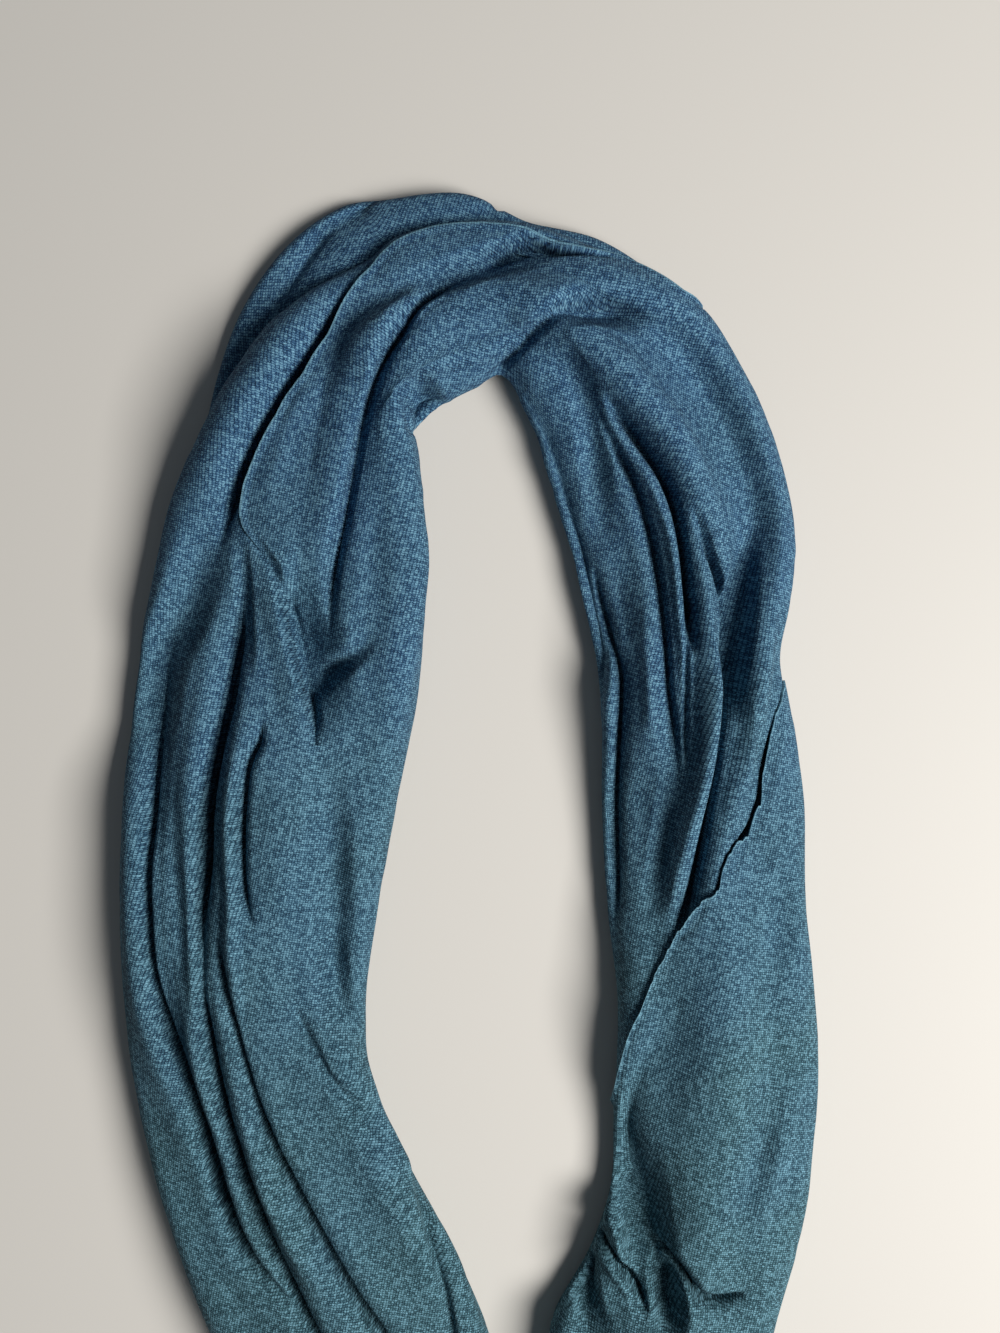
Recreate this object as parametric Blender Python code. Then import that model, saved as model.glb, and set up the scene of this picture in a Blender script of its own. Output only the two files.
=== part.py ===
"""An infinity scarf in fine jersey, lying on a floor in one long loop.

The loop is one strip of cloth gathered lengthwise. The visible cloth is made in stretches, each a
thin wall that rolls over at both sides, and the cloth wound up under it is one rounded body per
stretch with its own layer showing at the edge. Sizes in the tables are in millimetres: +X is to
the right, +Y is towards the crown of the loop and +Z is up.
"""

import bpy
import numpy as np

MM = 0.001
WALL = 2.0  # cloth wall
GAP = 0.3  # air between two pieces
STACK = WALL + GAP + 0.3  # how far one layer lies under the next
CENTRE = (0.95, -3.45)  # middle of the footprint in the tables' coordinates

# rolled sides of the gathered strip
EDGE_HEIGHT = 15.0  # widest point of a side on the floor
HEM_DROP = 6.2  # from the widest point down to the cloth's hem
HEM_TUCK = 9.0  # radius with which the side turns in below the widest point
HEM_ANGLE = -50.0
OUTER_ROLL = 25.0
INNER_ROLL = 20.0
SHOULDER = 0.78  # height of the top where a roll ends, as a share of the crest
SIDE_SHARE = 0.2  # share of the wall's columns that each roll takes

# the wound layers under the visible cloth
LAYER_HEIGHT = 8.4
LAYER_LIFT = 1.2  # how much a side rises for each mm that the layer under it is thicker
LAYER_ROUND = 6.0
INNER_LAYER = 9.5  # most that shows on the side of the hole
CORE_GAP = 0.6
CORE_SIDE_GAP = 1.6  # more air where the sides bend
CORE_HEM = 8.6  # how far in from the side the layers meet the cloth's hem
CORE_STEP = 0.5  # rise of the layers up to the hem
CORE_INSET = 2.0  # how far in from the widest point the layers' side is at the hole
CORE_FIRST = -30.0  # angle on the roll from which the layers follow the cloth

# Sections round the loop, from the foot up the left arm, over the crown and down the right arm.
# outer x, outer y, inner x, inner y, crest, height and reach of the layer that shows under it
SECTIONS = (
    (25, -434, 31, -305, 46, 8.4, -2),
    (-43, -413, 26, -301, 46, 8.8, -2),
    (-99, -368, 21, -289, 46, 9.4, -2),
    (-136, -310, 15, -274, 46, 9.2, -2),
    (-162, -255, 9, -255, 46, 8.6, -2),
    (-180, -205, -13, -205, 46, 8.4, -2),
    (-194, -155, -39, -155, 46, 8.8, -2),
    (-204, -105, -59, -105, 45, 9.6, -2),
    (-210, -49, -62, -49, 45, 10, -2),
    (-211, 6, -54, 6, 45, 9.4, -2),
    (-208, 67, -43, 67, 45, 8.6, -2),
    (-201, 128, -31, 125, 45, 8.4, -2),
    (-193, 176, -26, 176, 45, 8.8, -2),
    (-183, 223, -25, 221, 45, 9.4, -2),
    (-168, 264, -27, 253, 45, 9.6, -1),
    (-152, 293, -30, 279, 45, 12, 5),
    (-138, 318, -32, 286, 46, 14, 12),
    (-115, 346, -30, 290, 46, 14, 24),
    (-87, 370, -25, 295, 46, 14, 34),
    (-59, 386, -17, 302, 46, 14, 38),
    (-39, 400, -9, 307, 47, 14, 26),
    (-4, 408, 4, 313, 48, 14, 19),
    (32, 407, 19, 321, 49, 14, 4),
    (72, 394, 29, 310, 50, 14, 9),
    (110, 374, 35, 297, 50, 12, 6),
    (143, 350, 42, 280, 49, 10, -1),
    (170, 309, 48, 260, 48, 8.8, -2),
    (186, 268, 54, 241, 47, 8.4, -2),
    (194, 223, 61, 219, 46, 8.8, -2),
    (192, 188, 68, 188, 45, 9.6, -2),
    (187, 149, 77, 152, 45, 9.8, -2),
    (195, 110, 80, 110, 45, 9, -2),
    (202, 61, 80, 61, 45, 8.4, -2),
    (204, 6, 84, 6, 45, 8.6, -2),
    (210, -49, 90, -49, 46, 9.2, -2),
    (213, -105, 90, -105, 47, 10, -2),
    (208, -167, 87, -167, 47, 10.2, -2),
    (200, -212, 74, -212, 47, 9.6, -2),
    (190, -253, 52, -253, 46, 8.8, -2),
    (178, -291, 49, -272, 46, 8.4, -2),
    (151, -345, 44, -288, 46, 8.8, -2),
    (94, -407, 38, -301, 46, 9.2, -2),
)
SEAM_AT = 3.5  # section numbers at which the stretches meet
LAP_AT = 10.6
FOLD_END = 19.6
RIGHT_AT = 27.0
FOOT_AT = 38.5
CROWN_AT = 14.0
LEFT_WAIST_AT = 8.6
RIGHT_WAIST_AT = 32.8
ONCE_ROUND = len(SECTIONS)

# the cut edge that laps the left arm and the crown: section number, share of the way across
LAP_EDGE = (
    (10.0, 0.72),
    (10.8, 0.67),
    (11.6, 0.587),
    (12.04, 0.545),
    (12.4, 0.505),
    (12.7, 0.45),
    (13.0, 0.37),
    (13.2, 0.325),
    (13.8, 0.287),
    (15.3, 0.325),
    (16.5, 0.34),
    (17.5, 0.28),
    (18.1, 0.18),
    (18.7, 0.096),
    (19.6, 0.0),
)
LAP_UNDER = 0.14  # share of the width that goes on under the lap

# the cut edge of the flap over the right arm: share of the way across, section number
FLAP_EDGE = (
    (0.0, 30.25),
    (0.1, 30.76),
    (0.215, 31.54),
    (0.3, 32.1),
    (0.39, 32.32),
    (0.46, 32.65),
    (0.56, 32.91),
    (0.645, 33.13),
    (0.75, 33.48),
    (0.85, 33.86),
    (0.95, 34.45),
    (0.98, 34.9),
    (1.0, 35.2),
)
FLAP_UNDER = 0.5  # sections that go on under the flap
ARM_WIDTH = 120.0  # width of the right arm under that edge
FLAP_DRAPE = 0.9  # sections over which the flap follows what it covers

# Folds: where each lies, half its width, how far it rises or sinks, and points along it
FOLD_SPREAD = 1.35  # how far a fold still shows, in half widths
FOLD_TAPER = 0.15  # share of a fold that fades out at each end
FOLDS = (
    ("under", 18, 8, ((-73, 366), (-102, 335), (-125, 303), (-143, 269), (-161, 229), (-171, 188))),
    ("under", 9, -9, ((-55, 377), (-78, 349), (-99, 317), (-122, 280), (-135, 252), (-146, 221))),
    ("strip", 10, -5, ((-146, 221), (-158, 181), (-173, 142), (-183, 95), (-186, 41), (-185, -1))),
    ("strip", 8, -9, ((-185, 11), (-181, -30), (-170, -79), (-158, -132), (-144, -178), (-124, -211),
                      (-101, -239))),
    ("strip", 9, -6, ((-152, -154), (-145, -175), (-138, -194), (-125, -211))),
    ("strip", 8, -12, ((-124, 197), (-132, 153), (-142, 106), (-149, 58), (-153, 3), (-154, -39))),
    ("strip", 8, -10, ((-154, -39), (-150, -85), (-140, -131), (-125, -171), (-107, -215), (-86, -251))),
    ("strip", 8, -6, ((-122, 111), (-128, 86), (-132, 55), (-131, 17), (-128, 3))),
    ("strip", 8, -7, ((-146, -25), (-136, -71), (-121, -124), (-99, -168), (-76, -210), (-50, -250))),
    ("strip", 15, 5, ((-171, 188), (-186, 130), (-194, 41), (-194, -19), (-183, -85), (-168, -158),
                      (-152, -214))),
    ("strip", 10, 6, ((-139, 177), (-154, 114), (-162, 52), (-162, -29), (-155, -100), (-141, -161),
                      (-123, -202))),
    ("strip", 9, 5, ((-127, 124), (-135, 86), (-138, 42), (-142, -17), (-140, -95), (-123, -156),
                     (-100, -201), (-73, -242))),
    ("strip", 8, -3, ((-101, -59), (-81, -94), (-60, -121))),
    ("strip", 9, -5, ((-45, -148), (-33, -177), (-21, -207), (-12, -241))),
    ("strip", 16, -4, ((-72, 36), (-65, -5), (-69, -53))),
    ("strip", 18, 4, ((-98, -4), (-103, -52), (-93, -106), (-70, -160), (-43, -209))),
    ("lap", 9, 3, ((76, 385), (19, 398), (-15, 398), (-43, 385), (-67, 358), (-96, 306), (-118, 272),
                   (-124, 243), (-119, 223), (-103, 199))),
    ("lap", 13, 6, ((-27, 360), (-54, 335), (-65, 297), (-75, 245), (-84, 200), (-95, 165))),
    ("lap", 9, -4, ((19, 388), (1, 377), (-30, 369), (-53, 360))),
    ("lap", 9, -10, ((-21, 363), (-41, 337), (-58, 304), (-65, 266), (-72, 226), (-80, 197))),
    ("lap", 15, -10, ((-76, 203), (-83, 173), (-87, 129))),
    ("lap", 14, 7, ((19, 337), (-11, 327), (-34, 318), (-44, 302), (-38, 273), (-33, 223), (-38, 165),
                    (-42, 124))),
    ("lap", 9, -5, ((22, 384), (54, 389), (82, 382), (106, 366))),
    ("strip", 15, 6, ((2, 329), (39, 351), (70, 364), (104, 363), (139, 346), (163, 315), (174, 280))),
    ("lap", 9, -6, ((16, 321), (30, 334), (48, 348), (68, 355), (88, 352), (114, 340))),
    ("lap", 18, -5, ((31, 319), (54, 331), (68, 312))),
    ("strip", 9, -8, ((95, 350), (126, 334), (141, 314), (157, 267), (174, 221), (165, 177), (158, 150))),
    ("strip", 9, 5, ((45, 349), (72, 333), (95, 309), (120, 282), (145, 236), (155, 197))),
    ("strip", 9, -4, ((48, 343), (67, 313), (78, 283), (85, 234), (87, 208))),
    ("strip", 8, -4, ((77, 297), (93, 268), (105, 244), (116, 200), (121, 164), (124, 136))),
    ("strip", 8, 4, ((103, 267), (119, 221), (125, 169), (127, 136))),
    ("strip", 9, -12, ((92, 292), (113, 263), (127, 229), (131, 189), (133, 146), (132, 103))),
    ("strip", 9, 6, ((133, 217), (140, 169), (141, 122), (136, 76), (127, 28), (118, -8))),
    ("strip", 9, -12, ((137, 226), (147, 200), (150, 153), (148, 98), (139, 43), (127, 0))),
    ("strip", 9, -6, ((148, 188), (156, 159), (153, 118), (149, 88))),
    ("strip", 9, 5, ((158, 220), (168, 165), (163, 114), (157, 77))),
    ("strip", 9, 4, ((181, 194), (176, 156), (174, 130))),
    ("strip", 8, -5, ((92, 188), (94, 148), (92, 99), (89, 61), (90, 20))),
    ("strip", 8, 3, ((88, 164), (84, 122), (83, 74), (85, 34))),
    ("strip", 14, 5, ((102, 194), (109, 142), (108, 99), (105, 48))),
    ("strip", 8, -5, ((123, 77), (118, 36), (113, 3))),
    ("flap", 30, 4, ((156, 25), (146, -40), (150, -118))),
    ("flap", 13, -4, ((178, 24), (182, -11), (179, -47))),
    ("flap", 16, -5, ((116, -65), (109, -107), (111, -156))),
    ("flap", 8, -5, ((82, -160), (99, -172), (114, -181))),
    ("flap", 8, -8, ((73, -189), (86, -202), (100, -221), (112, -246))),
    ("flap", 8, 4, ((73, -200), (83, -214), (94, -232))),
    ("flap", 8, -5, ((117, -207), (131, -212), (140, -223), (156, -229))),
    ("flap", 12, -5, ((112, -237), (138, -243))),
    ("flap", 14, 4, ((187, -83), (182, -143), (168, -198), (147, -247))),
    ("foot", 9, -10, ((-86, -252), (-50, -312), (1, -353), (61, -353), (112, -312), (139, -256))),
    ("foot", 9, -8, ((-51, -251), (-23, -289), (19, -315), (64, -305), (94, -274), (112, -246))),
    ("foot", 9, -7, ((-102, -240), (-72, -321), (-11, -378), (56, -387), (116, -352))),
    ("foot", 10, 5, ((-73, -242), (-41, -290), (13, -330), (67, -327), (109, -290))),
    ("foot", 12, 5, ((-123, -230), (-83, -298), (-29, -351), (31, -370), (103, -348), (151, -286))),
)

# columns and rows of each wall, and of the layers inside
LEFT_GRID = (16, 35)
FOLD_ROWS = 17
FOLD_COLUMNS = 16
CROWN_ROWS = 12
CROWN_COLUMNS = 26
UNDER_COLUMNS = 2
RIGHT_ROWS = 11
FLAP_ROWS = 10
ARM_COLUMNS = 32
FOOT_GRID = (13, 26)
ARM_SPACING = 0.85
BEND_SPACING = 0.6
CORE_TOP = 15
CORE_SIDE = 5
CORE_LOOK = 1.15  # how far round each point of the core the cloth's lowest point is looked for
LOOK_STEPS = 7
LOOK_PAST = 1.0  # sections past a stretch's end where its cloth still counts
UNDER_PAST = 1.6  # how far past the lap the layer under it counts, in widths of that layer

# the joining seam: its allowance, pressed flat on the left stretch
SEAM_BAND = (0.03, 0.2, 0.36)  # its rows, as shares of the left stretch's first row
SEAM_INSET = 1  # columns left free at each hem
SEAM_WALL = 1.2
SEAM_LIFT = 1.0


def smooth(x):
    x = np.clip(x, 0.0, 1.0)
    return x * x * (3 - 2 * x)


def catmull(points, at):
    """A smooth line through points (rows), read at places counted in points."""
    i = np.clip(np.floor(at).astype(int), 0, len(points) - 2)
    f = (at - i)[..., None]
    last = len(points) - 1
    a = points[np.maximum(i - 1, 0)]
    b = points[i]
    c = points[i + 1]
    d = points[np.minimum(i + 2, last)]
    bend = (2 * a - 5 * b + 4 * c - d) * f * f + (3 * (b - c) + d - a) * f * f * f
    return b + 0.5 * ((c - a) * f + bend)


def section(s):
    """The seven values of SECTIONS, blended smoothly at section numbers s round the loop."""
    table = np.array(SECTIONS, float)
    around = np.concatenate([table[-3:], table, table[:3]])
    return np.moveaxis(catmull(around, np.mod(s, ONCE_ROUND) + 3), -1, 0)


def share_to_column(share, width):
    """Place across the wall, from 0 at one hem to 1 at the other, of a share of the width."""
    across = share * width
    turned = np.degrees(np.arccos(np.clip(1 - across / OUTER_ROLL, -1, 1)))
    rolled = SIDE_SHARE * (turned - HEM_ANGLE) / (90 - HEM_ANGLE)
    flat = (across - OUTER_ROLL) / (width - OUTER_ROLL - INNER_ROLL)
    return np.where(across < OUTER_ROLL, rolled, SIDE_SHARE + flat * (1 - 2 * SIDE_SHARE))


def side(turn, roll, edge, shoulder):
    """How far in and how high a rolled side is at an angle from its widest point."""
    a = np.radians(turn)
    low = turn < 0
    inward = np.where(low, HEM_TUCK, roll) * (1 - np.cos(a))
    drop = HEM_DROP * np.sin(a) / np.sin(np.radians(-HEM_ANGLE))
    return inward, edge + np.where(low, drop, (shoulder - edge) * np.sin(a))


def surface(s, e):
    """Points of the plain gathered strip at sections s and columns e, and the way out of it."""
    ox, oy, ix, iy, crest, layer, _ = section(s)
    width = np.hypot(ix - ox, iy - oy)
    way = np.stack([(ix - ox) / width, (iy - oy) / width], -1)
    shoulder = SHOULDER * crest
    edge = EDGE_HEIGHT + LAYER_LIFT * (layer - LAYER_HEIGHT)
    inner_edge = EDGE_HEIGHT + LAYER_LIFT * (np.minimum(layer, INNER_LAYER) - LAYER_HEIGHT)
    first = HEM_ANGLE + (90 - HEM_ANGLE) * np.clip(e / SIDE_SHARE, 0, 1)
    last = HEM_ANGLE + (90 - HEM_ANGLE) * np.clip((1 - e) / SIDE_SHARE, 0, 1)
    out_in, out_z = side(first, OUTER_ROLL, edge, shoulder)
    in_in, in_z = side(last, INNER_ROLL, inner_edge, shoulder)
    middle = np.clip((e - SIDE_SHARE) / (1 - 2 * SIDE_SHARE), 0, 1)
    across = OUTER_ROLL + middle * (width - OUTER_ROLL - INNER_ROLL)
    top = shoulder + (crest - shoulder) * np.sin(np.pi * middle) ** 2
    outer = e < SIDE_SHARE
    inner = e > 1 - SIDE_SHARE
    across = np.where(outer, out_in, np.where(inner, width - in_in, across))
    z = np.where(outer, out_z, np.where(inner, in_z, top))
    slope = (crest - shoulder) * np.pi * np.sin(2 * np.pi * middle) / (width - OUTER_ROLL - INNER_ROLL)
    tilt = np.arctan(slope)
    lean = np.where(outer, -np.cos(np.radians(first)), np.where(inner, np.cos(np.radians(last)), -np.sin(tilt)))
    rise = np.where(outer, np.sin(np.radians(first)), np.where(inner, np.sin(np.radians(last)), np.cos(tilt)))
    place = np.stack([ox, oy], -1) + way * across[..., None]
    points = np.concatenate([place, z[..., None]], -1)
    normals = np.concatenate([way * lean[..., None], rise[..., None]], -1)
    return points, normals


def off_line(points, x, y):
    """Distance of each place from a fold's line, and how far along the line it is."""
    line = catmull(np.array(points, float), np.linspace(0, len(points) - 1, 4 * len(points)))
    best = np.full(x.shape, 1e9)
    along = np.zeros(x.shape)
    steps = len(line) - 1
    for k in range(steps):
        dx, dy = line[k + 1] - line[k]
        f = np.clip(((x - line[k, 0]) * dx + (y - line[k, 1]) * dy) / (dx * dx + dy * dy), 0, 1)
        d = np.hypot(x - line[k, 0] - f * dx, y - line[k, 1] - f * dy)
        nearer = d < best
        best = np.where(nearer, d, best)
        along = np.where(nearer, (k + f) / steps, along)
    return best, along


def folded(points, normals, kinds):
    """How far the folds of some kinds push each point out of the plain strip."""
    out = np.zeros(points.shape[:-1])
    for kind, half_width, height, line in FOLDS:
        if kind not in kinds:
            continue
        d, along = off_line(line, points[..., 0], points[..., 1])
        bump = np.clip(1 - (d / (FOLD_SPREAD * half_width)) ** 2, 0, 1) ** 2
        ends = smooth(along / FOLD_TAPER) * smooth((1 - along) / FOLD_TAPER)
        out = out + height * bump * ends
    return out * smooth((normals[..., 2] + 0.1) / 0.6)


def lap_column(s):
    """Column of the cut edge that laps the crown, at sections s."""
    at, shares = np.array(LAP_EDGE).T
    ox, oy, ix, iy = section(s)[:4]
    return share_to_column(np.interp(s, at, shares), np.hypot(ix - ox, iy - oy))


def flap_section(share):
    shares, at = np.array(FLAP_EDGE).T
    return np.interp(share, shares, at)


def column_share(e):
    """Share of the right arm's width at a column."""
    turn = HEM_ANGLE + (90 - HEM_ANGLE) * np.clip(e / SIDE_SHARE, 0, 1)
    far = HEM_ANGLE + (90 - HEM_ANGLE) * np.clip((1 - e) / SIDE_SHARE, 0, 1)
    first = OUTER_ROLL * (1 - np.cos(np.radians(np.maximum(turn, 0))))
    last = INNER_ROLL * (1 - np.cos(np.radians(np.maximum(far, 0))))
    middle = (e - SIDE_SHARE) / (1 - 2 * SIDE_SHARE)
    across = first + np.clip(middle, 0, 1) * (ARM_WIDTH - OUTER_ROLL - INNER_ROLL)
    return (across + INNER_ROLL - last) / ARM_WIDTH


def height_of(kind, s, e):
    """Points, way out and height of the folds of one piece of cloth."""
    points, normals = surface(s, e)
    if kind == "lap":
        rise = folded(points, normals, ("strip", "lap"))
    elif kind == "under":
        rise = folded(points, normals, ("strip", "under"))
        lap = folded(points, normals, ("strip", "lap"))
        rise = np.where(e >= lap_column(s) - 1e-6, np.minimum(rise, lap - STACK), rise)
    elif kind == "flap":
        rise = folded(points, normals, ("flap", "foot"))
        covered = folded(points, normals, ("strip",)) + STACK
        near = 1 - smooth((s - flap_section(column_share(e))) / FLAP_DRAPE)
        rise = np.maximum(rise, rise + (covered - rise) * near)
    elif kind == "right":
        rise = folded(points, normals, ("strip",))
        flap = height_of("flap", s, e)[2]
        rise = np.where(s >= flap_section(column_share(e)) - 1e-6, np.minimum(rise, flap - STACK), rise)
    else:
        rise = folded(points, normals, ("strip", "flap", "foot"))
    return points, normals, rise


def lowest(s, e):
    """The lowest layer of cloth over the wound layers, as a height over the plain strip."""
    s = np.mod(s, ONCE_ROUND)
    points, normals = surface(s, e)
    plain = folded(points, normals, ("strip", "flap", "foot"))
    lap = folded(points, normals, ("strip", "lap"))
    under = np.minimum(folded(points, normals, ("strip", "under")), lap - STACK)
    below = e < lap_column(np.clip(s, LAP_AT, RIGHT_AT)) + UNDER_PAST * LAP_UNDER
    crown = np.where(below & (s < FOLD_END + LOOK_PAST), np.minimum(under, lap), lap)
    strip = folded(points, normals, ("strip",))
    flap = folded(points, normals, ("flap", "foot"))
    right = np.minimum(strip, flap - STACK)
    rise = np.where((s > LAP_AT) & (s < RIGHT_AT), crown, plain)
    rise = np.where((s >= RIGHT_AT) & (s < FOOT_AT + LOOK_PAST), np.minimum(right, rise), rise)
    return np.minimum(rise, plain)


def add_node(name, vertices, faces, colour):
    shift = np.array([CENTRE[0], CENTRE[1], 0.0])
    mesh = bpy.data.meshes.new(name)
    mesh.from_pydata(((vertices - shift) * MM).tolist(), [], faces)
    mesh.polygons.foreach_set("use_smooth", [True] * len(mesh.polygons))
    material = bpy.data.materials.new(name)
    material.use_nodes = True
    shader = material.node_tree.nodes["Principled BSDF"]
    shader.inputs["Base Color"].default_value = (*colour, 1.0)
    shader.inputs["Roughness"].default_value = 0.9
    mesh.materials.append(material)
    obj = bpy.data.objects.new(name, mesh)
    bpy.context.scene.collection.objects.link(obj)


def wall(name, top, under, colour):
    """A closed wall between two grids of points."""
    rows, columns = top.shape[:2]
    count = rows * columns

    def at(r, c, low=0):
        return low * count + r * columns + c

    faces = []
    for r in range(rows - 1):
        for c in range(columns - 1):
            faces.append((at(r, c), at(r, c + 1), at(r + 1, c + 1), at(r + 1, c)))
            faces.append((at(r, c, 1), at(r + 1, c, 1), at(r + 1, c + 1, 1), at(r, c + 1, 1)))
    for c in range(columns - 1):
        faces.append((at(0, c), at(0, c, 1), at(0, c + 1, 1), at(0, c + 1)))
        last = rows - 1
        faces.append((at(last, c), at(last, c + 1), at(last, c + 1, 1), at(last, c, 1)))
    for r in range(rows - 1):
        faces.append((at(r, 0), at(r + 1, 0), at(r + 1, 0, 1), at(r, 0, 1)))
        last = columns - 1
        faces.append((at(r, last), at(r, last, 1), at(r + 1, last, 1), at(r + 1, last)))
    vertices = np.concatenate([top.reshape(-1, 3), under.reshape(-1, 3)])
    add_node(name, vertices, faces, colour)


def cloth(name, kind, s, e, colour):
    points, normals, rise = height_of(kind, s, e)
    top = points + normals * rise[..., None]
    wall(name, top, top - WALL * normals, colour)


def plain_grid(start, end, shape):
    s = np.linspace(start, end, shape[0])[:, None] + np.zeros(shape[1])
    e = np.linspace(0, 1, shape[1])[None, :] + np.zeros((shape[0], 1))
    return s, e


def core_loop(s, spacing):
    """One closed ring round the wound layers at section s: the flat underside, sides and top."""
    ox, oy, ix, iy, _, layer, reach = section(s)
    width = np.hypot(ix - ox, iy - oy)
    way = np.array([ix - ox, iy - oy]) / width
    turn = np.radians(np.linspace(-90, 90, CORE_SIDE + 1))
    bulge_in = LAYER_ROUND * (1 - np.cos(turn))
    rise = 0.5 + 0.5 * np.sin(turn)
    outer = [(-reach + x, layer * z) for x, z in zip(bulge_in, rise)]
    outer.append((0.5 * (CORE_HEM - reach), layer + 0.2 * CORE_STEP))
    outer.append((CORE_HEM, layer + CORE_STEP))
    inner_layer = min(layer, INNER_LAYER)
    inner = [(width - CORE_INSET - x, inner_layer * z) for x, z in zip(bulge_in, rise)]
    inner.append((width - CORE_HEM, inner_layer + CORE_STEP))
    start = SIDE_SHARE * (CORE_FIRST - HEM_ANGLE) / (90 - HEM_ANGLE)
    e = np.linspace(start, 1 - start, CORE_TOP + 4)
    offsets = np.linspace(-CORE_LOOK, CORE_LOOK, LOOK_STEPS)
    look_s = s + spacing * offsets[:, None, None] + np.zeros((1, LOOK_STEPS, len(e)))
    step = 1 / (CORE_TOP + 3)
    look_e = np.clip(e + step * offsets[None, :, None] + np.zeros((LOOK_STEPS, 1, 1)), 0, 1)
    rise = lowest(look_s, look_e).min(axis=(0, 1))
    points, normals = surface(np.full(len(e), s), e)
    steep = 1 - np.clip(normals[:, 2], 0, 1)
    top = points + normals * (rise - WALL - CORE_GAP - CORE_SIDE_GAP * steep)[:, None]
    place = np.array([ox, oy])
    first = [(*(place + way * x), z) for x, z in outer]
    last = [(*(place + way * x), z) for x, z in inner[::-1]]
    return np.array(first + [tuple(p) for p in top] + last)


def core(name, start, end, spacing, colour):
    count = int(round((end - start) / spacing)) + 1
    loops = [core_loop(s, spacing) for s in np.linspace(start, end, count)]
    most = len(loops[0])
    faces = []
    for r in range(count - 1):
        for c in range(most):
            d = (c + 1) % most
            faces.append((r * most + c, r * most + d, (r + 1) * most + d, (r + 1) * most + c))
    faces.append(tuple(reversed(range(most))))
    faces.append(tuple(range((count - 1) * most, count * most)))
    add_node(name, np.concatenate(loops), faces, colour)


for old in list(bpy.data.objects):
    bpy.data.objects.remove(old, do_unlink=True)

NAVY = (0.045, 0.095, 0.15)
TEAL = (0.06, 0.13, 0.17)
DEEP = (0.03, 0.07, 0.12)
JOIN = 0.003  # half a gap between stretches, in sections

left_s, left_e = plain_grid(SEAM_AT + JOIN, LAP_AT - JOIN, LEFT_GRID)
cloth("left_stretch", "plain", left_s, left_e, NAVY)

low_rows = np.linspace(LAP_AT + JOIN, FOLD_END, FOLD_ROWS)
high_rows = np.linspace(FOLD_END, RIGHT_AT - JOIN, CROWN_ROWS)
under_share = np.linspace(0, 1, UNDER_COLUMNS + 1)[1:]

fold_s = low_rows[:, None] + np.zeros(FOLD_COLUMNS + UNDER_COLUMNS)
lap_at = lap_column(low_rows)[:, None]
outside = lap_at * np.linspace(0, 1, FOLD_COLUMNS)[None, :]
fold_e = np.concatenate([outside, lap_at + LAP_UNDER * under_share[None, :]], 1)
cloth("left_fold", "under", fold_s, fold_e, NAVY)

crown_rows = np.concatenate([low_rows, high_rows[1:]])
lap_at = lap_column(crown_rows)[:, None]
past = lap_at + LAP_UNDER
near_lap = lap_at + LAP_UNDER * under_share[None, :-1]
beyond = past + (1 - past) * np.linspace(0, 1, CROWN_COLUMNS)[None, :]
crown_e = np.concatenate([lap_at, near_lap, beyond], 1)
crown_s = crown_rows[:, None] + np.zeros(crown_e.shape[1])
cloth("crown_stretch", "lap", crown_s, crown_e, TEAL)

columns = np.linspace(0, 1, ARM_COLUMNS)[None, :]
edge_s = flap_section(column_share(columns))
tail = edge_s + FLAP_UNDER * under_share[:, None]
rows = np.linspace(0, 1, RIGHT_ROWS)[:, None]
right_s = np.concatenate([RIGHT_AT + JOIN + rows * (edge_s - RIGHT_AT - JOIN), tail])
cloth("right_stretch", "right", right_s, columns + np.zeros((len(right_s), 1)), NAVY)

rows = np.linspace(0, 1, FLAP_ROWS)[1:, None]
rest = tail[-1:] + rows * (FOOT_AT - JOIN - tail[-1:])
flap_s = np.concatenate([edge_s, tail, rest])
cloth("flap_stretch", "flap", flap_s, columns + np.zeros((len(flap_s), 1)), TEAL)

foot_s, foot_e = plain_grid(FOOT_AT + JOIN, ONCE_ROUND + SEAM_AT - JOIN, FOOT_GRID)
cloth("foot_stretch", "plain", foot_s, foot_e, NAVY)

core("left_layers", SEAM_AT + JOIN, LEFT_WAIST_AT - JOIN, ARM_SPACING, DEEP)
core("left_layers_upper", LEFT_WAIST_AT + JOIN, CROWN_AT - JOIN, ARM_SPACING, DEEP)
core("crown_layers", CROWN_AT + JOIN, RIGHT_AT - JOIN, ARM_SPACING, DEEP)
core("right_layers", RIGHT_AT + JOIN, RIGHT_WAIST_AT - JOIN, ARM_SPACING, DEEP)
core("right_layers_lower", RIGHT_WAIST_AT + JOIN, FOOT_AT - JOIN, ARM_SPACING, DEEP)
core("foot_layers", FOOT_AT + JOIN, ONCE_ROUND + SEAM_AT - JOIN, BEND_SPACING, DEEP)

points, normals, rise = height_of("plain", left_s[:2], left_e[:2])
top = points + normals * rise[..., None]
along = np.array(SEAM_BAND)[:, None, None]
low = top[0] + (top[1] - top[0]) * along
out = normals[0] + (normals[1] - normals[0]) * along
keep = slice(SEAM_INSET, -SEAM_INSET)
low = (low + SEAM_LIFT * out)[:, keep]
wall("joining_seam", low + SEAM_WALL * out[:, keep], low, DEEP)
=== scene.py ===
import math

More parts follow.
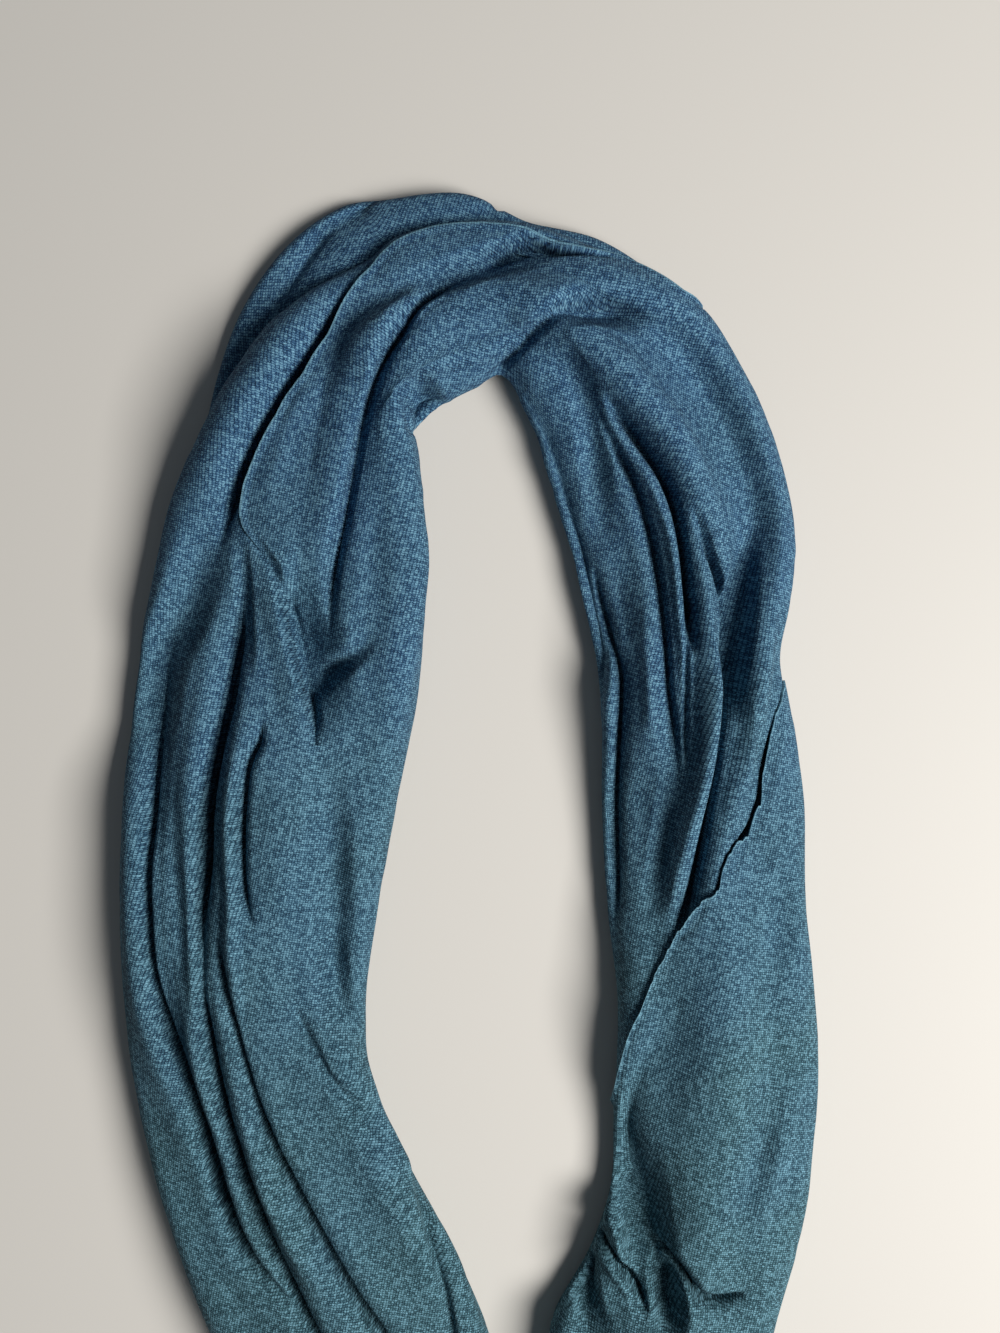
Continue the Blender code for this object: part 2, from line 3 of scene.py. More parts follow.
import bpy
import numpy as np
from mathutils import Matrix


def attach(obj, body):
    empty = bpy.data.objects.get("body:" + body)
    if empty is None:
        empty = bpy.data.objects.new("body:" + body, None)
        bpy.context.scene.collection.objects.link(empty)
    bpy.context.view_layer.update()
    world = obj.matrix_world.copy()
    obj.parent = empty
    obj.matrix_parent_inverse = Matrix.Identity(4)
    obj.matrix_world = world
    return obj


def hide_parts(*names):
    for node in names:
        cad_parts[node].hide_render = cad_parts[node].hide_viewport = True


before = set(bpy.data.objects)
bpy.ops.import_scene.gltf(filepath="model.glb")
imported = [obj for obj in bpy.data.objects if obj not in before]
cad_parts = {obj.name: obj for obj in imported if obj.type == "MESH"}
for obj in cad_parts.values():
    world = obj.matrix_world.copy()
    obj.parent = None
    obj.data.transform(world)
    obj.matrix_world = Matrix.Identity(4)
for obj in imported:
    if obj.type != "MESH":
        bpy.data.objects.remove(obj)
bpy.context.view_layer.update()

# The camera
# A phone held over the floor, looking almost straight down and a little towards the foot.

LENS_MM = 38.6
CAMERA_HEIGHT = 0.872  # metres
CAMERA_TILT = math.radians(3.5)
AIM = (0.01805, 0.15045)  # point of the floor at the picture's middle
EYE = (
    AIM[0],
    AIM[1] + CAMERA_HEIGHT * math.sin(CAMERA_TILT),
    CAMERA_HEIGHT * math.cos(CAMERA_TILT),
)

camera_data = bpy.data.cameras.new("camera")
camera_data.lens = LENS_MM
camera = bpy.data.objects.new("camera", camera_data)
bpy.context.scene.collection.objects.link(camera)
camera.location = EYE
camera.rotation_euler = (-CAMERA_TILT, 0, 0)
bpy.context.scene.camera = camera

# The left arm
# The jersey panel gathered lengthwise along the left of the loop, rolled over at both sides, with
# deep creases between its round folds. Its sections and folds were picked on the photo.

MM = 0.001
CENTRE = (0.95, -3.45)  # middle of the loop's footprint
PHOTO_SIZE = (1000, 1333)
SENSOR_MM = 36.0


def seen_at(u, v, height):
    """Where a point of the photo lies at a height over the floor, to the nearest mm."""
    across = (u - PHOTO_SIZE[0] / 2) / PHOTO_SIZE[1] * SENSOR_MM / LENS_MM
    down = (v - PHOTO_SIZE[1] / 2) / PHOTO_SIZE[1] * SENSOR_MM / LENS_MM
    way_y = -down * math.cos(CAMERA_TILT) - math.sin(CAMERA_TILT)
    way_z = down * math.sin(CAMERA_TILT) - math.cos(CAMERA_TILT)
    far = (height * MM - EYE[2]) / way_z
    x = (EYE[0] + far * across) / MM + CENTRE[0]
    y = (EYE[1] + far * way_y) / MM + CENTRE[1]
    return round(x), round(y)


def laid_out(rows):
    """Rows of folds with their lines in mm, from points on the photo at the row's height."""
    return [(*row[:3], [seen_at(u, v, row[3]) for u, v in row[4]]) for row in rows]


# Pixels on the photo, and beyond its lower edge where the loop is carried on
SECTIONS_SEEN = (  # outer side, its height, inner side, crest, layer under it: height, reach
    (510, 1597, 15, 520, 1397, 46, 8.4, -2),
    (400, 1565, 15, 512, 1390, 46, 8.8, -2),
    (310, 1495, 15, 503, 1372, 46, 9.4, -2),
    (250, 1405, 15, 494, 1348, 46, 9.2, -2),
    (206, 1318, 15, 484, 1318, 46, 8.6, -2),
    (177, 1240, 15, 448, 1240, 46, 8.4, -2),
    (153, 1160, 15, 406, 1160, 46, 8.8, -2),
    (135, 1080, 15, 373, 1080, 45, 9.6, -2),
    (124, 990, 15, 366, 990, 45, 10, -2),
    (120, 900, 15, 379, 900, 45, 9.4, -2),
    (123, 800, 15, 397, 800, 45, 8.6, -2),
    (133, 700, 15, 417, 705, 45, 8.4, -2),
    (145, 620, 15, 424, 620, 45, 8.8, -2),
    (161, 540, 15, 427, 545, 45, 9.4, -2),
    (186, 472, 15, 423, 490, 45, 9.6, -1),
    (209, 421, 22, 417, 447, 45, 12, 5),
    (233, 378, 22, 414, 435, 46, 14, 12),
    (271, 330, 22, 418, 428, 46, 14, 24),
    (319, 289, 22, 425, 419, 46, 14, 34),
    (367, 261, 22, 440, 408, 46, 14, 38),
    (401, 237, 22, 453, 398, 47, 14, 26),
    (460, 222, 22, 474, 388, 48, 14, 19),
    (523, 224, 22, 500, 374, 49, 14, 4),
    (590, 247, 22, 517, 394, 50, 14, 9),
    (655, 281, 22, 527, 415, 50, 12, 6),
    (710, 325, 15, 538, 445, 49, 10, -1),
    (755, 395, 15, 549, 478, 48, 8.8, -2),
    (781, 465, 15, 559, 510, 47, 8.4, -2),
    (793, 540, 15, 570, 548, 46, 8.8, -2),
    (790, 600, 15, 582, 600, 45, 9.6, -2),
    (781, 665, 15, 597, 660, 45, 9.8, -2),
    (793, 730, 15, 601, 730, 45, 9, -2),
    (803, 810, 15, 601, 810, 45, 8.4, -2),
    (806, 900, 15, 608, 900, 45, 8.6, -2),
    (814, 990, 15, 617, 990, 46, 9.2, -2),
    (818, 1080, 15, 617, 1080, 47, 10, -2),
    (809, 1180, 15, 611, 1180, 47, 10.2, -2),
    (794, 1250, 15, 589, 1250, 47, 9.6, -2),
    (778, 1315, 15, 554, 1316, 46, 8.8, -2),
    (757, 1375, 15, 549, 1345, 46, 8.4, -2),
    (712, 1460, 15, 541, 1370, 46, 8.8, -2),
    (620, 1555, 15, 530, 1390, 46, 9.2, -2),
)
ONCE_ROUND = len(SECTIONS_SEEN)
SEAM_AT = 3.5  # section numbers at which the stretches meet
LAP_AT = 10.6
FOLD_END = 24.8
RIGHT_AT = 27.0
FOOT_AT = 38.5

EDGE_HEIGHT = 15.0  # the widest point of a rolled side
HEM_DROP = 6.2  # from there down to the hem
HEM_TUCK = 9.0  # radius with which the side turns in below it
HEM_ANGLE = -50.0
OUTER_ROLL = 25.0
INNER_ROLL = 20.0
SHOULDER = 0.78  # height at which a roll ends, as a share of the crest
SIDE_SHARE = 0.2  # share of the columns that each roll takes
LAYER_HEIGHT = 8.4
LAYER_LIFT = 1.2  # how much a side rises for each mm that the layer under it is thicker
INNER_LAYER = 9.5  # most that shows on the side of the hole
JERSEY = 1.1  # thickness of the cloth
LAPPED = 1.5  # how far a layer lies under the next

SECTIONS = []  # outer x, outer y, inner x, inner y, crest, layer under it: height, reach
for u, v, outer_height, inner_u, inner_v, *heights in SECTIONS_SEEN:
    outer, inner = seen_at(u, v, outer_height), seen_at(inner_u, inner_v, EDGE_HEIGHT)
    SECTIONS.append((*outer, *inner, *heights))

SLIT = 0.3  # share of a crease that is steep
FOLD_TAPER = 0.42  # share of a fold that fades out at each end, and of a crease
CREASE_TAPER = 0.22
LINE_STEPS = 4  # places on a fold's line for each point that is given
FADE_FROM = -0.1  # folds fade where a side turns under: the upward share of its normal
FADE_OVER = 0.6

# reach to the left of the line and to its right, height, height over the floor at which the line
# was picked, and points along it
ARM_FOLDS = laid_out((
    (22, 17, -20, 34, ((219, 503), (203, 543), (182, 607), (160, 652), (150, 695), (145, 745),
        (147, 800), (150, 860))),
    (6, 5, -44, 32, ((196, 1100), (205, 1135), (213, 1165), (222, 1195), (232, 1225),
        (244, 1250), (258, 1275))),
    (18, 20, -6, 36, ((135, 1000), (145, 1070), (160, 1130), (180, 1190), (205, 1260),
        (235, 1330))),
    (7, 7, -4, 42, ((181, 770), (177, 850), (179, 920), (185, 985), (192, 1040))),
    (12, 18, 7, 38, ((178, 560), (165, 640), (148, 720), (141, 800), (140, 880), (144, 970),
        (160, 1070), (186, 1170), (212, 1250))),
    (9, 14, 8, 42, ((236, 590), (217, 647), (203, 727), (192, 807), (190, 900), (194, 987),
        (205, 1088), (224, 1166), (250, 1238), (275, 1275))),
    (7, 8, 8, 44, ((254, 700), (241, 737), (233, 796), (231, 839), (234, 900), (232, 960),
        (238, 1040), (256, 1110))),
    (9, 9, 6, 44, ((231, 1102), (253, 1166), (279, 1218), (308, 1270), (342, 1319))),
    (12, 11, -7, 42, ((324, 915), (328, 950), (332, 985), (337, 1020), (347, 1055))),
    (16, 16, -9, 44, ((322, 720), (325, 800), (329, 870), (332, 940), (336, 1010),
        (342, 1080))),
    (20, 40, 9, 46, ((300, 880), (292, 960), (314, 1030), (356, 1110), (404, 1190), (444, 1270),
        (470, 1350), (490, 1420))),
    (5, 14, 4, 44, ((262, 560), (274, 592), (287, 640), (296, 690), (304, 740), (312, 800))),
    (7, 8, -16, 36, ((378, 632), (362, 650), (346, 663), (330, 674), (317, 687), (308, 700),
        (304, 716))),
    (26, 22, 4, 48, ((290, 740), (285, 820), (285, 900), (300, 980))),
    (12, 26, 7, 42, ((395, 430), (407, 480), (411, 540), (408, 600), (402, 660), (390, 730),
        (380, 800))),
))
ARM_CREASES = laid_out((
    (13, 13, 23, 36, ((163, 620), (157, 690), (151, 755), (148, 820), (145, 880), (146, 940),
        (152, 985), (166, 1033), (190, 1090), (210, 1150), (225, 1203), (240, 1245),
        (262, 1275), (285, 1300), (310, 1330))),
    (10, 20, 28, 36, ((243, 590), (239, 622), (236, 655), (230, 700), (221, 740), (213, 780),
        (208, 823), (206, 865), (201, 929), (203, 990))),
    (12, 13, 25, 38, ((205, 900), (203, 987), (208, 1039), (218, 1085), (229, 1131),
        (248, 1186), (268, 1238), (293, 1290), (316, 1333), (335, 1362), (370, 1410))),
    (7, 9, 15, 42, ((263, 715), (259, 742), (248, 767), (243, 807), (242, 849), (245, 892),
        (254, 930))),
    (9, 10, 14, 42, ((216, 930), (224, 984), (233, 1021), (246, 1070), (264, 1128),
        (280, 1160))),
    (13, 12, 22, 42, ((252, 1090), (272, 1148), (300, 1202), (327, 1252), (352, 1296),
        (378, 1333), (394, 1360), (425, 1400))),
    (14, 9, 8, 45, ((288, 1005), (308, 1045), (331, 1085), (354, 1116), (375, 1150))),
    (10, 14, 11, 40, ((400, 1165), (414, 1200), (429, 1246), (444, 1295), (452, 1330),
        (456, 1360))),
    (6, 3, 8, 42, ((284, 596), (295, 636), (303, 672), (310, 712), (317, 748))),
))
ARM_GRID = (180, 190)


def smooth(x):
    """An eased step from 0 to 1."""
    x = np.clip(x, 0.0, 1.0)
    return x * x * (3 - 2 * x)


def curve_through(points, at):
    """Places on a smooth curve through the points, by their numbers and between them."""
    i = np.clip(np.floor(at).astype(int), 0, len(points) - 2)
    f = (at - i)[..., None]
    a = points[np.maximum(i - 1, 0)]
    b = points[i]
    c = points[i + 1]
    d = points[np.minimum(i + 2, len(points) - 1)]
    bend = (2 * a - 5 * b + 4 * c - d) * f * f + (3 * (b - c) + d - a) * f * f * f
    return b + 0.5 * ((c - a) * f + bend)


def section(s):
    """The columns of SECTIONS anywhere round the loop."""
    table = np.array(SECTIONS, float)
    around = np.concatenate([table[-3:], table, table[:3]])
    return np.moveaxis(curve_through(around, np.mod(s, ONCE_ROUND) + 3), -1, 0)


def side_turn(share):
    """Degrees that a rolled side has turned, from its hem to 90 where it lies level."""
    return HEM_ANGLE + (90 - HEM_ANGLE) * np.clip(share / SIDE_SHARE, 0, 1)


def rolled_side(turn, roll, edge, shoulder):
    """How far in a rolled side lies, and how high, where it has turned that far."""
    a = np.radians(turn)
    low = turn < 0
    inward = np.where(low, HEM_TUCK, roll) * (1 - np.cos(a))
    drop = HEM_DROP * np.sin(a) / np.sin(np.radians(-HEM_ANGLE))
    return inward, edge + np.where(low, drop, (shoulder - edge) * np.sin(a))


def plain_strip(s, e):
    """Points of the gathered strip before its folds, and the way out of it at each.

    s is the section's number, and e runs from the outer hem, 0, to the inner one, 1.
    """
    ox, oy, ix, iy, crest, layer, _ = section(s)
    width = np.hypot(ix - ox, iy - oy)
    way = np.stack([(ix - ox) / width, (iy - oy) / width], -1)
    shoulder = SHOULDER * crest
    edge = EDGE_HEIGHT + LAYER_LIFT * (layer - LAYER_HEIGHT)
    inner_edge = EDGE_HEIGHT + LAYER_LIFT * (np.minimum(layer, INNER_LAYER) - LAYER_HEIGHT)
    first = side_turn(e)
    last = side_turn(1 - e)
    out_in, out_z = rolled_side(first, OUTER_ROLL, edge, shoulder)
    in_in, in_z = rolled_side(last, INNER_ROLL, inner_edge, shoulder)
    middle = np.clip((e - SIDE_SHARE) / (1 - 2 * SIDE_SHARE), 0, 1)
    flat = width - OUTER_ROLL - INNER_ROLL
    outer = e < SIDE_SHARE
    inner = e > 1 - SIDE_SHARE
    across = np.where(outer, out_in, np.where(inner, width - in_in, OUTER_ROLL + middle * flat))
    top = shoulder + (crest - shoulder) * np.sin(np.pi * middle) ** 2
    z = np.where(outer, out_z, np.where(inner, in_z, top))
    tilt = np.arctan((crest - shoulder) * np.pi * np.sin(2 * np.pi * middle) / flat)
    first, last = np.radians(first), np.radians(last)
    lean = np.where(outer, -np.cos(first), np.where(inner, np.cos(last), -np.sin(tilt)))
    rise = np.where(outer, np.sin(first), np.where(inner, np.sin(last), np.cos(tilt)))
    place = np.stack([ox, oy], -1) + way * across[..., None]
    points = np.concatenate([place, z[..., None]], -1)
    return points, np.concatenate([way * lean[..., None], rise[..., None]], -1)


def off_line(line, x, y):
    """Distance of each place from a fold's line, its side, and how far along the line it is."""
    line = curve_through(np.array(line, float), np.linspace(0, len(line) - 1, LINE_STEPS * len(line)))
    best = np.full(x.shape, np.inf)
    side = np.zeros(x.shape)
    along = np.zeros(x.shape)
    steps = len(line) - 1
    for k in range(steps):
        dx, dy = line[k + 1] - line[k]
        px, py = x - line[k, 0], y - line[k, 1]
        f = np.clip((px * dx + py * dy) / (dx * dx + dy * dy), 0, 1)
        d = np.hypot(px - f * dx, py - f * dy)
        nearer = d < best
        best = np.where(nearer, d, best)
        side = np.where(nearer, np.sign(dx * py - dy * px), side)
        along = np.where(nearer, (k + f) / steps, along)
    return best, side, along


def line_bump(points, table, profile, taper):
    """The sum of a table's folds at each point, each with the given profile across it."""
    out = np.zeros(points.shape[:-1])
    x, y = points[..., 0], points[..., 1]
    for left, right, height, line in table:
        reach = max(left, right)
        low_x, low_y = np.min(line, axis=0) - reach
        high_x, high_y = np.max(line, axis=0) + reach
        near = (x > low_x) & (x < high_x) & (y > low_y) & (y < high_y)
        if not near.any():
            continue
        d, side, along = off_line(line, x[near], y[near])
        share = np.clip(d / np.where(side > 0, left, right), 0, 1)
        ends = smooth(along / taper) * smooth((1 - along) / taper)
        out[near] += height * profile(share) * ends
    return out


def round_profile(share):
    """Height of a round fold from its line, 0, to its reach, 1."""
    return (1 - share**2) ** 2


def crease_profile(share):
    """Depth of a crease, a soft valley with a steep slit along its line."""
    return 0.5 * (1 - share) ** 2 + 0.5 * np.clip(1 - share / SLIT, 0, 1)


def fold_rise(points, normals, folds, creases):
    """How far folds push each point out and creases draw it in."""
    out = line_bump(points, folds, round_profile, FOLD_TAPER)
    out -= line_bump(points, creases, crease_profile, CREASE_TAPER)
    return out * smooth((normals[..., 2] - FADE_FROM) / FADE_OVER)


LOWEST = 11.0  # the wound layers hold the deepest creases up at this height
LOWEST_EASE = 5.0
CREASE_LEAN = 0.2  # creases drop nearly straight down, also on the strip's sides


def settled(points, normals, rise):
    """The strip with its folds, its deepest creases lying on the wound layers."""
    down = normals * (CREASE_LEAN, CREASE_LEAN, 1)
    down = down / np.linalg.norm(down, axis=-1)[..., None]
    out = points + np.where(rise[..., None] < 0, down, normals) * rise[..., None]
    floor = np.minimum(points[..., 2] - LOWEST_EASE, LOWEST)
    over = out[..., 2] - floor
    eased = LOWEST_EASE * np.exp(np.minimum(over / LOWEST_EASE - 1, 0))
    out[..., 2] = floor + np.where(over < LOWEST_EASE, eased, over)
    return out


LATTICE = 64  # random values each way, before they repeat


def drift(x, y, size, seed):
    """Smooth random ups and downs about size across, from -1 to 1."""
    lattice = np.random.RandomState(seed).uniform(-1, 1, (LATTICE, LATTICE))
    gx, gy = x / size, y / size
    i, j = np.floor(gx).astype(int), np.floor(gy).astype(int)
    fx, fy = smooth(gx - i), smooth(gy - j)
    left, right = i % LATTICE, (i + 1) % LATTICE
    low, high = j % LATTICE, (j + 1) % LATTICE
    a = lattice[left, low] * (1 - fx) + lattice[right, low] * fx
    b = lattice[left, high] * (1 - fx) + lattice[right, high] * fx
    return a * (1 - fy) + b * fy


# Length of cloth across the plain strip, from its outer side
ACROSS_STEPS = 60
LAID_STEP = 0.1
laid_s = np.arange(0, ONCE_ROUND + LAID_STEP / 2, LAID_STEP)[:, None]
laid_s = laid_s + np.zeros((1, ACROSS_STEPS + 1))
laid_e = np.linspace(0, 1, ACROSS_STEPS + 1)[None, :] + np.zeros((len(laid_s), 1))
laid = plain_strip(laid_s, laid_e)[0]
laid_across = np.cumsum(np.linalg.norm(np.diff(laid, axis=1, prepend=laid[:, :1]), axis=-1), 1)
laid_across += OUTER_ROLL - laid_across[:, int(SIDE_SHARE * ACROSS_STEPS)][:, None]


def knit_place(s, e):
    """Where a point of the strip lies if its sides are laid flat beside its top, in mm."""
    fs = np.mod(s, ONCE_ROUND) / LAID_STEP
    fe = np.clip(e, 0, 1) * ACROSS_STEPS
    i = np.clip(fs.astype(int), 0, len(laid_s) - 2)
    j = np.clip(fe.astype(int), 0, ACROSS_STEPS - 1)
    a, b = fs - i, fe - j
    near = laid_across[i, j] * (1 - b) + laid_across[i, j + 1] * b
    far = laid_across[i + 1, j] * (1 - b) + laid_across[i + 1, j + 1] * b
    across = near * (1 - a) + far * a
    ox, oy, ix, iy = section(s)[:4]
    width = np.hypot(ix - ox, iy - oy)
    return ox + (ix - ox) / width * across, oy + (iy - oy) / width * across


STRIP_WIDTH = 130  # roughly, for the spacing of small ripples
SECTION_STEP = 55  # and from one section to the next
WRINKLES = (  # size, how many times longer than wide, height, seed
    (13, 3, 0.8, 3),
    (6, 2, 0.3, 8),
)


def wrinkles(s, e):
    """The soft unevenness of loose jersey: long ripples along the strip, and fainter short ones."""
    across = STRIP_WIDTH * e
    along = SECTION_STEP * np.mod(s, ONCE_ROUND)
    out = 0.0
    for size, longer, height, seed in WRINKLES:
        out = out + height * drift(across, along / longer, size, seed)
    return out


def cloth_piece(name, top, normals, place, material, ring=False, cut=None):
    """A wall of jersey from a grid of points on its right side, with its cut edges."""
    rows, columns = top.shape[:2]
    count = rows * columns
    index = np.arange(count).reshape(rows, columns)
    if ring:
        index = np.concatenate([index, index[:1]])
    a, b = index[:-1, :-1].ravel(), index[:-1, 1:].ravel()
    c, d = index[1:, 1:].ravel(), index[1:, :-1].ravel()
    faces = [np.stack([d, c, b, a], 1), np.stack([a, b, c, d], 1) + count]
    rims = [index[:, 0], index[::-1, -1]]
    if not ring:
        rims += [index[0, ::-1], index[-1]]
    for line in rims:
        p, q = line[:-1], line[1:]
        faces.append(np.stack([p, p + count, q + count, q], 1))
    faces = np.concatenate(faces)
    vertices = np.concatenate([top.reshape(-1, 3), (top - JERSEY * normals).reshape(-1, 3)])
    vertices = (vertices - np.array([CENTRE[0], CENTRE[1], 0])) * MM
    mesh = bpy.data.meshes.new(name)
    mesh.from_pydata(vertices.tolist(), [], faces.tolist())
    mesh.polygons.foreach_set("use_smooth", [True] * len(mesh.polygons))
    flat = np.stack([*place, np.zeros_like(place[0])], -1).reshape(-1, 3)
    kept = mesh.attributes.new("panel", "FLOAT_VECTOR", "POINT")
    kept.data.foreach_set("vector", np.tile(flat, (2, 1)).astype(np.float32).ravel())
    # the paler line along cut edges: fluffed yarn and a painted highlight on the curled rim
    if cut is not None:
        paler = mesh.attributes.new("cut_edge", "FLOAT", "POINT")
        paler.data.foreach_set("value", np.tile(cut.ravel(), 2).astype(np.float32))
    on_rim = np.zeros(2 * count, bool)
    on_rim[np.concatenate(rims)] = True
    on_rim[np.concatenate(rims) + count] = True
    ends = np.empty(len(mesh.edges) * 2, np.int32)
    mesh.edges.foreach_get("vertices", ends)
    sharp = mesh.attributes.new("sharp_edge", "BOOLEAN", "EDGE")
    sharp.data.foreach_set("value", on_rim[ends].reshape(-1, 2).all(1))
    mesh.materials.append(material)
    obj = bpy.data.objects.new(name, mesh)
    bpy.context.scene.collection.objects.link(obj)
    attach(obj, "root")
    return obj


WALE = 1.6  # mm between the knit's columns of loops
COURSE = 1.3  # and between its rows
NIGHT_YARN = (0.002, 0.01, 0.024)
NAVY_YARN = (0.011, 0.057, 0.147)
# teal is a yarn colour of the random dye, and also the painted light tint towards the foot
TEAL_YARN_AND_PAINTED_LIGHT = (0.014, 0.056, 0.068)
PALE_YARN = (0.215, 0.43, 0.54)
PAINTED_LIGHT_SPAN = 520.0  # mm of the loop over which the colour goes from navy to teal: painted light, greener and a little darker towards the foot
PAINTED_LIGHT_START = 0.1
FIBRES_PER_MM = (1.9, 1.6, 1)
CLOUDS_PER_MM = (0.2, 0.16, 1)
TINTS_PER_MM = (0.016, 0.01, 1)
CLOUD_ROUGHNESS = 0.5
FIBRE_ROUGHNESS = 0.8
# what each adds to a stitch's tone: the yarn that it is knitted from, its fibres, its round
# loop and the uneven dye
YARN_TONE = 0.36
FIBRE_TONE = 2.0
LOOP_TONE = 0.46
CLOUD_TONE = 0.14
TONE_BASE = -1.02
DARK_SHARE = (-2.4, 1.2)  # night yarn for a tone: slope and start
PALE_SHARE = (1.5, -0.65)
FRAY_AND_HIGHLIGHT_SHARE = (0.8, 0.15)  # pale yarn along a cut edge, with a painted highlight on its curled rim
FIBRE_BUMP = 0.8
KNIT_DEPTH = 0.0005  # metres


def jersey_material(name, turn):
    """Heathered jersey: each loop of yarn dark or pale by chance, in fine rows and columns."""
    material = bpy.data.materials.new(name)
    material.use_nodes = True
    nodes = material.node_tree.nodes
    link = material.node_tree.links.new
    shader = nodes["Principled BSDF"]

    def put(socket, value):
        if isinstance(value, bpy.types.NodeSocket):
            link(value, socket)
        else:
            socket.default_value = value

    def calc(operation, *values, kind="ShaderNodeMath"):
        node = nodes.new(kind)
        node.operation = operation
        for socket, value in zip(node.inputs, values):
            put(socket, value)
        return node.outputs[0]

    def noise(per_mm, roughness):
        node = nodes.new("ShaderNodeTexNoise")
        put(node.inputs["Vector"], calc("MULTIPLY", place, per_mm, kind="ShaderNodeVectorMath"))
        node.inputs["Scale"].default_value = 1.0
        node.inputs["Detail"].default_value = 2.0
        node.inputs["Roughness"].default_value = roughness
        return node.outputs["Fac"]

    def blend(factor, first, second):
        node = nodes.new("ShaderNodeMix")
        node.data_type = "RGBA"
        put(node.inputs[0], factor)
        put(node.inputs[6], first)
        put(node.inputs[7], second)
        return node.outputs[2]

    panel = nodes.new("ShaderNodeAttribute")
    panel.attribute_name = "panel"
    turned = nodes.new("ShaderNodeVectorRotate")
    turned.rotation_type = "Z_AXIS"
    put(turned.inputs["Vector"], panel.outputs["Vector"])
    turned.inputs["Angle"].default_value = math.radians(turn)
    place = turned.outputs["Vector"]
    loops = calc("MULTIPLY", place, (1 / WALE, 1 / COURSE, 0), kind="ShaderNodeVectorMath")
    cell = nodes.new("ShaderNodeTexWhiteNoise")
    cell.noise_dimensions = "2D"
    put(cell.inputs["Vector"], calc("FLOOR", loops, kind="ShaderNodeVectorMath"))
    part = nodes.new("ShaderNodeSeparateXYZ")
    put(part.inputs["Vector"], calc("FRACTION", loops, kind="ShaderNodeVectorMath"))
    across = calc("SINE", calc("MULTIPLY", part.outputs["X"], math.pi))
    down = calc("SINE", calc("MULTIPLY", part.outputs["Y"], math.pi))
    loop = calc("POWER", calc("MULTIPLY", across, down), 0.5)

    fibres = noise(FIBRES_PER_MM, FIBRE_ROUGHNESS)
    clouds = noise(CLOUDS_PER_MM, CLOUD_ROUGHNESS)
    tone = calc("MULTIPLY_ADD", fibres, FIBRE_TONE, TONE_BASE)
    tone = calc("MULTIPLY_ADD", cell.outputs["Value"], YARN_TONE, tone)
    tone = calc("MULTIPLY_ADD", clouds, CLOUD_TONE, tone)
    tone = calc("MULTIPLY_ADD", loop, LOOP_TONE, tone)
    spot = nodes.new("ShaderNodeSeparateXYZ")
    put(spot.inputs["Vector"], panel.outputs["Vector"])
    # painted light: the colour turns from navy to teal towards the foot, a tint of the light there;
    # the noise adds the yarn's own uneven dye
    tint = calc("MULTIPLY_ADD", spot.outputs["Y"], -1 / PAINTED_LIGHT_SPAN, PAINTED_LIGHT_START)
    tint = calc("ADD", tint, noise(TINTS_PER_MM, CLOUD_ROUGHNESS))
    ground = blend(tint, (*NAVY_YARN, 1), (*TEAL_YARN_AND_PAINTED_LIGHT, 1))
    shade = blend(calc("MULTIPLY_ADD", tone, *DARK_SHARE), ground, (*NIGHT_YARN, 1))
    edge = nodes.new("ShaderNodeAttribute")
    edge.attribute_name = "cut_edge"
    # painted highlight: the cut edge is paler, for its fluffed yarn and for light on its curled rim
    fray_and_highlight = calc("MULTIPLY", edge.outputs["Fac"], calc("MULTIPLY_ADD", tone, *FRAY_AND_HIGHLIGHT_SHARE))
    pale = calc("MAXIMUM", calc("MULTIPLY_ADD", tone, *PALE_SHARE), fray_and_highlight)
    put(shader.inputs["Base Color"], blend(pale, shade, (*PALE_YARN, 1)))
    shader.inputs["Roughness"].default_value = 0.9
    shader.inputs["Specular IOR Level"].default_value = 0.25
    bump = nodes.new("ShaderNodeBump")
    bump.inputs["Strength"].default_value = 0.5
    bump.inputs["Distance"].default_value = KNIT_DEPTH
    put(bump.inputs["Height"], calc("MULTIPLY_ADD", fibres, FIBRE_BUMP, loop))
    put(shader.inputs["Normal"], bump.outputs["Normal"])
    return material


KNIT_TURN = 12  # degrees between the columns of loops and the strip
jersey = jersey_material("jersey", KNIT_TURN)


def strip_grid(start, end, shape):
    """Section numbers and places across for a grid over one stretch."""
    s = np.linspace(start, end, shape[0])[:, None] + np.zeros((1, shape[1]))
    e = np.linspace(0, 1, shape[1])[None, :] + np.zeros((shape[0], 1))
    return s, e


s, e = strip_grid(SEAM_AT, LAP_AT, ARM_GRID)
points, normals = plain_strip(s, e)
rise = fold_rise(points, normals, ARM_FOLDS, ARM_CREASES) + wrinkles(s, e)
left_arm = cloth_piece("left_arm", settled(points, normals, rise), normals, knit_place(s, e), jersey)
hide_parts("left_stretch")

# The round fold on the left
# The same panel further up, turned over into one round fold on the outside of the arm. It lies
# under the cut edge of the crown's panel.

LAP_EDGE = (  # section, share of the width
    (10.0, 0.72),
    (10.8, 0.66),
    (11.2, 0.605),
    (11.6, 0.56),
    (12.04, 0.517),
    (12.37, 0.487),
    (12.7, 0.445),
    (13.02, 0.369),
    (13.19, 0.327),
    (13.38, 0.301),
    (13.82, 0.287),
    (14.45, 0.299),
    (15.29, 0.325),
    (16.52, 0.341),
    (17.51, 0.28),
    (18.13, 0.19),
    (18.72, 0.108),
    (19.3, 0.06),
    (20.0, 0.05),
    (20.65, 0.034),
    (21.3, 0.047),
    (22.05, 0.066),
    (22.65, 0.083),
    (23.0, 0.066),
    (23.4, 0.026),
    (23.8, 0.035),
    (24.4, 0.045),
    (24.8, 0.0),
)
LAP_UNDER = 0.14  # share of the width that goes on under the lap
GOES_UNDER = 0.03  # share of the width over which it sinks there
SINKS_EARLY = 0.02
MORE_AIR = 0.4
OVER_UNTIL = 12.6  # section up to which the round fold's side rolls over the crown's edge
OVER_EASE = 0.6
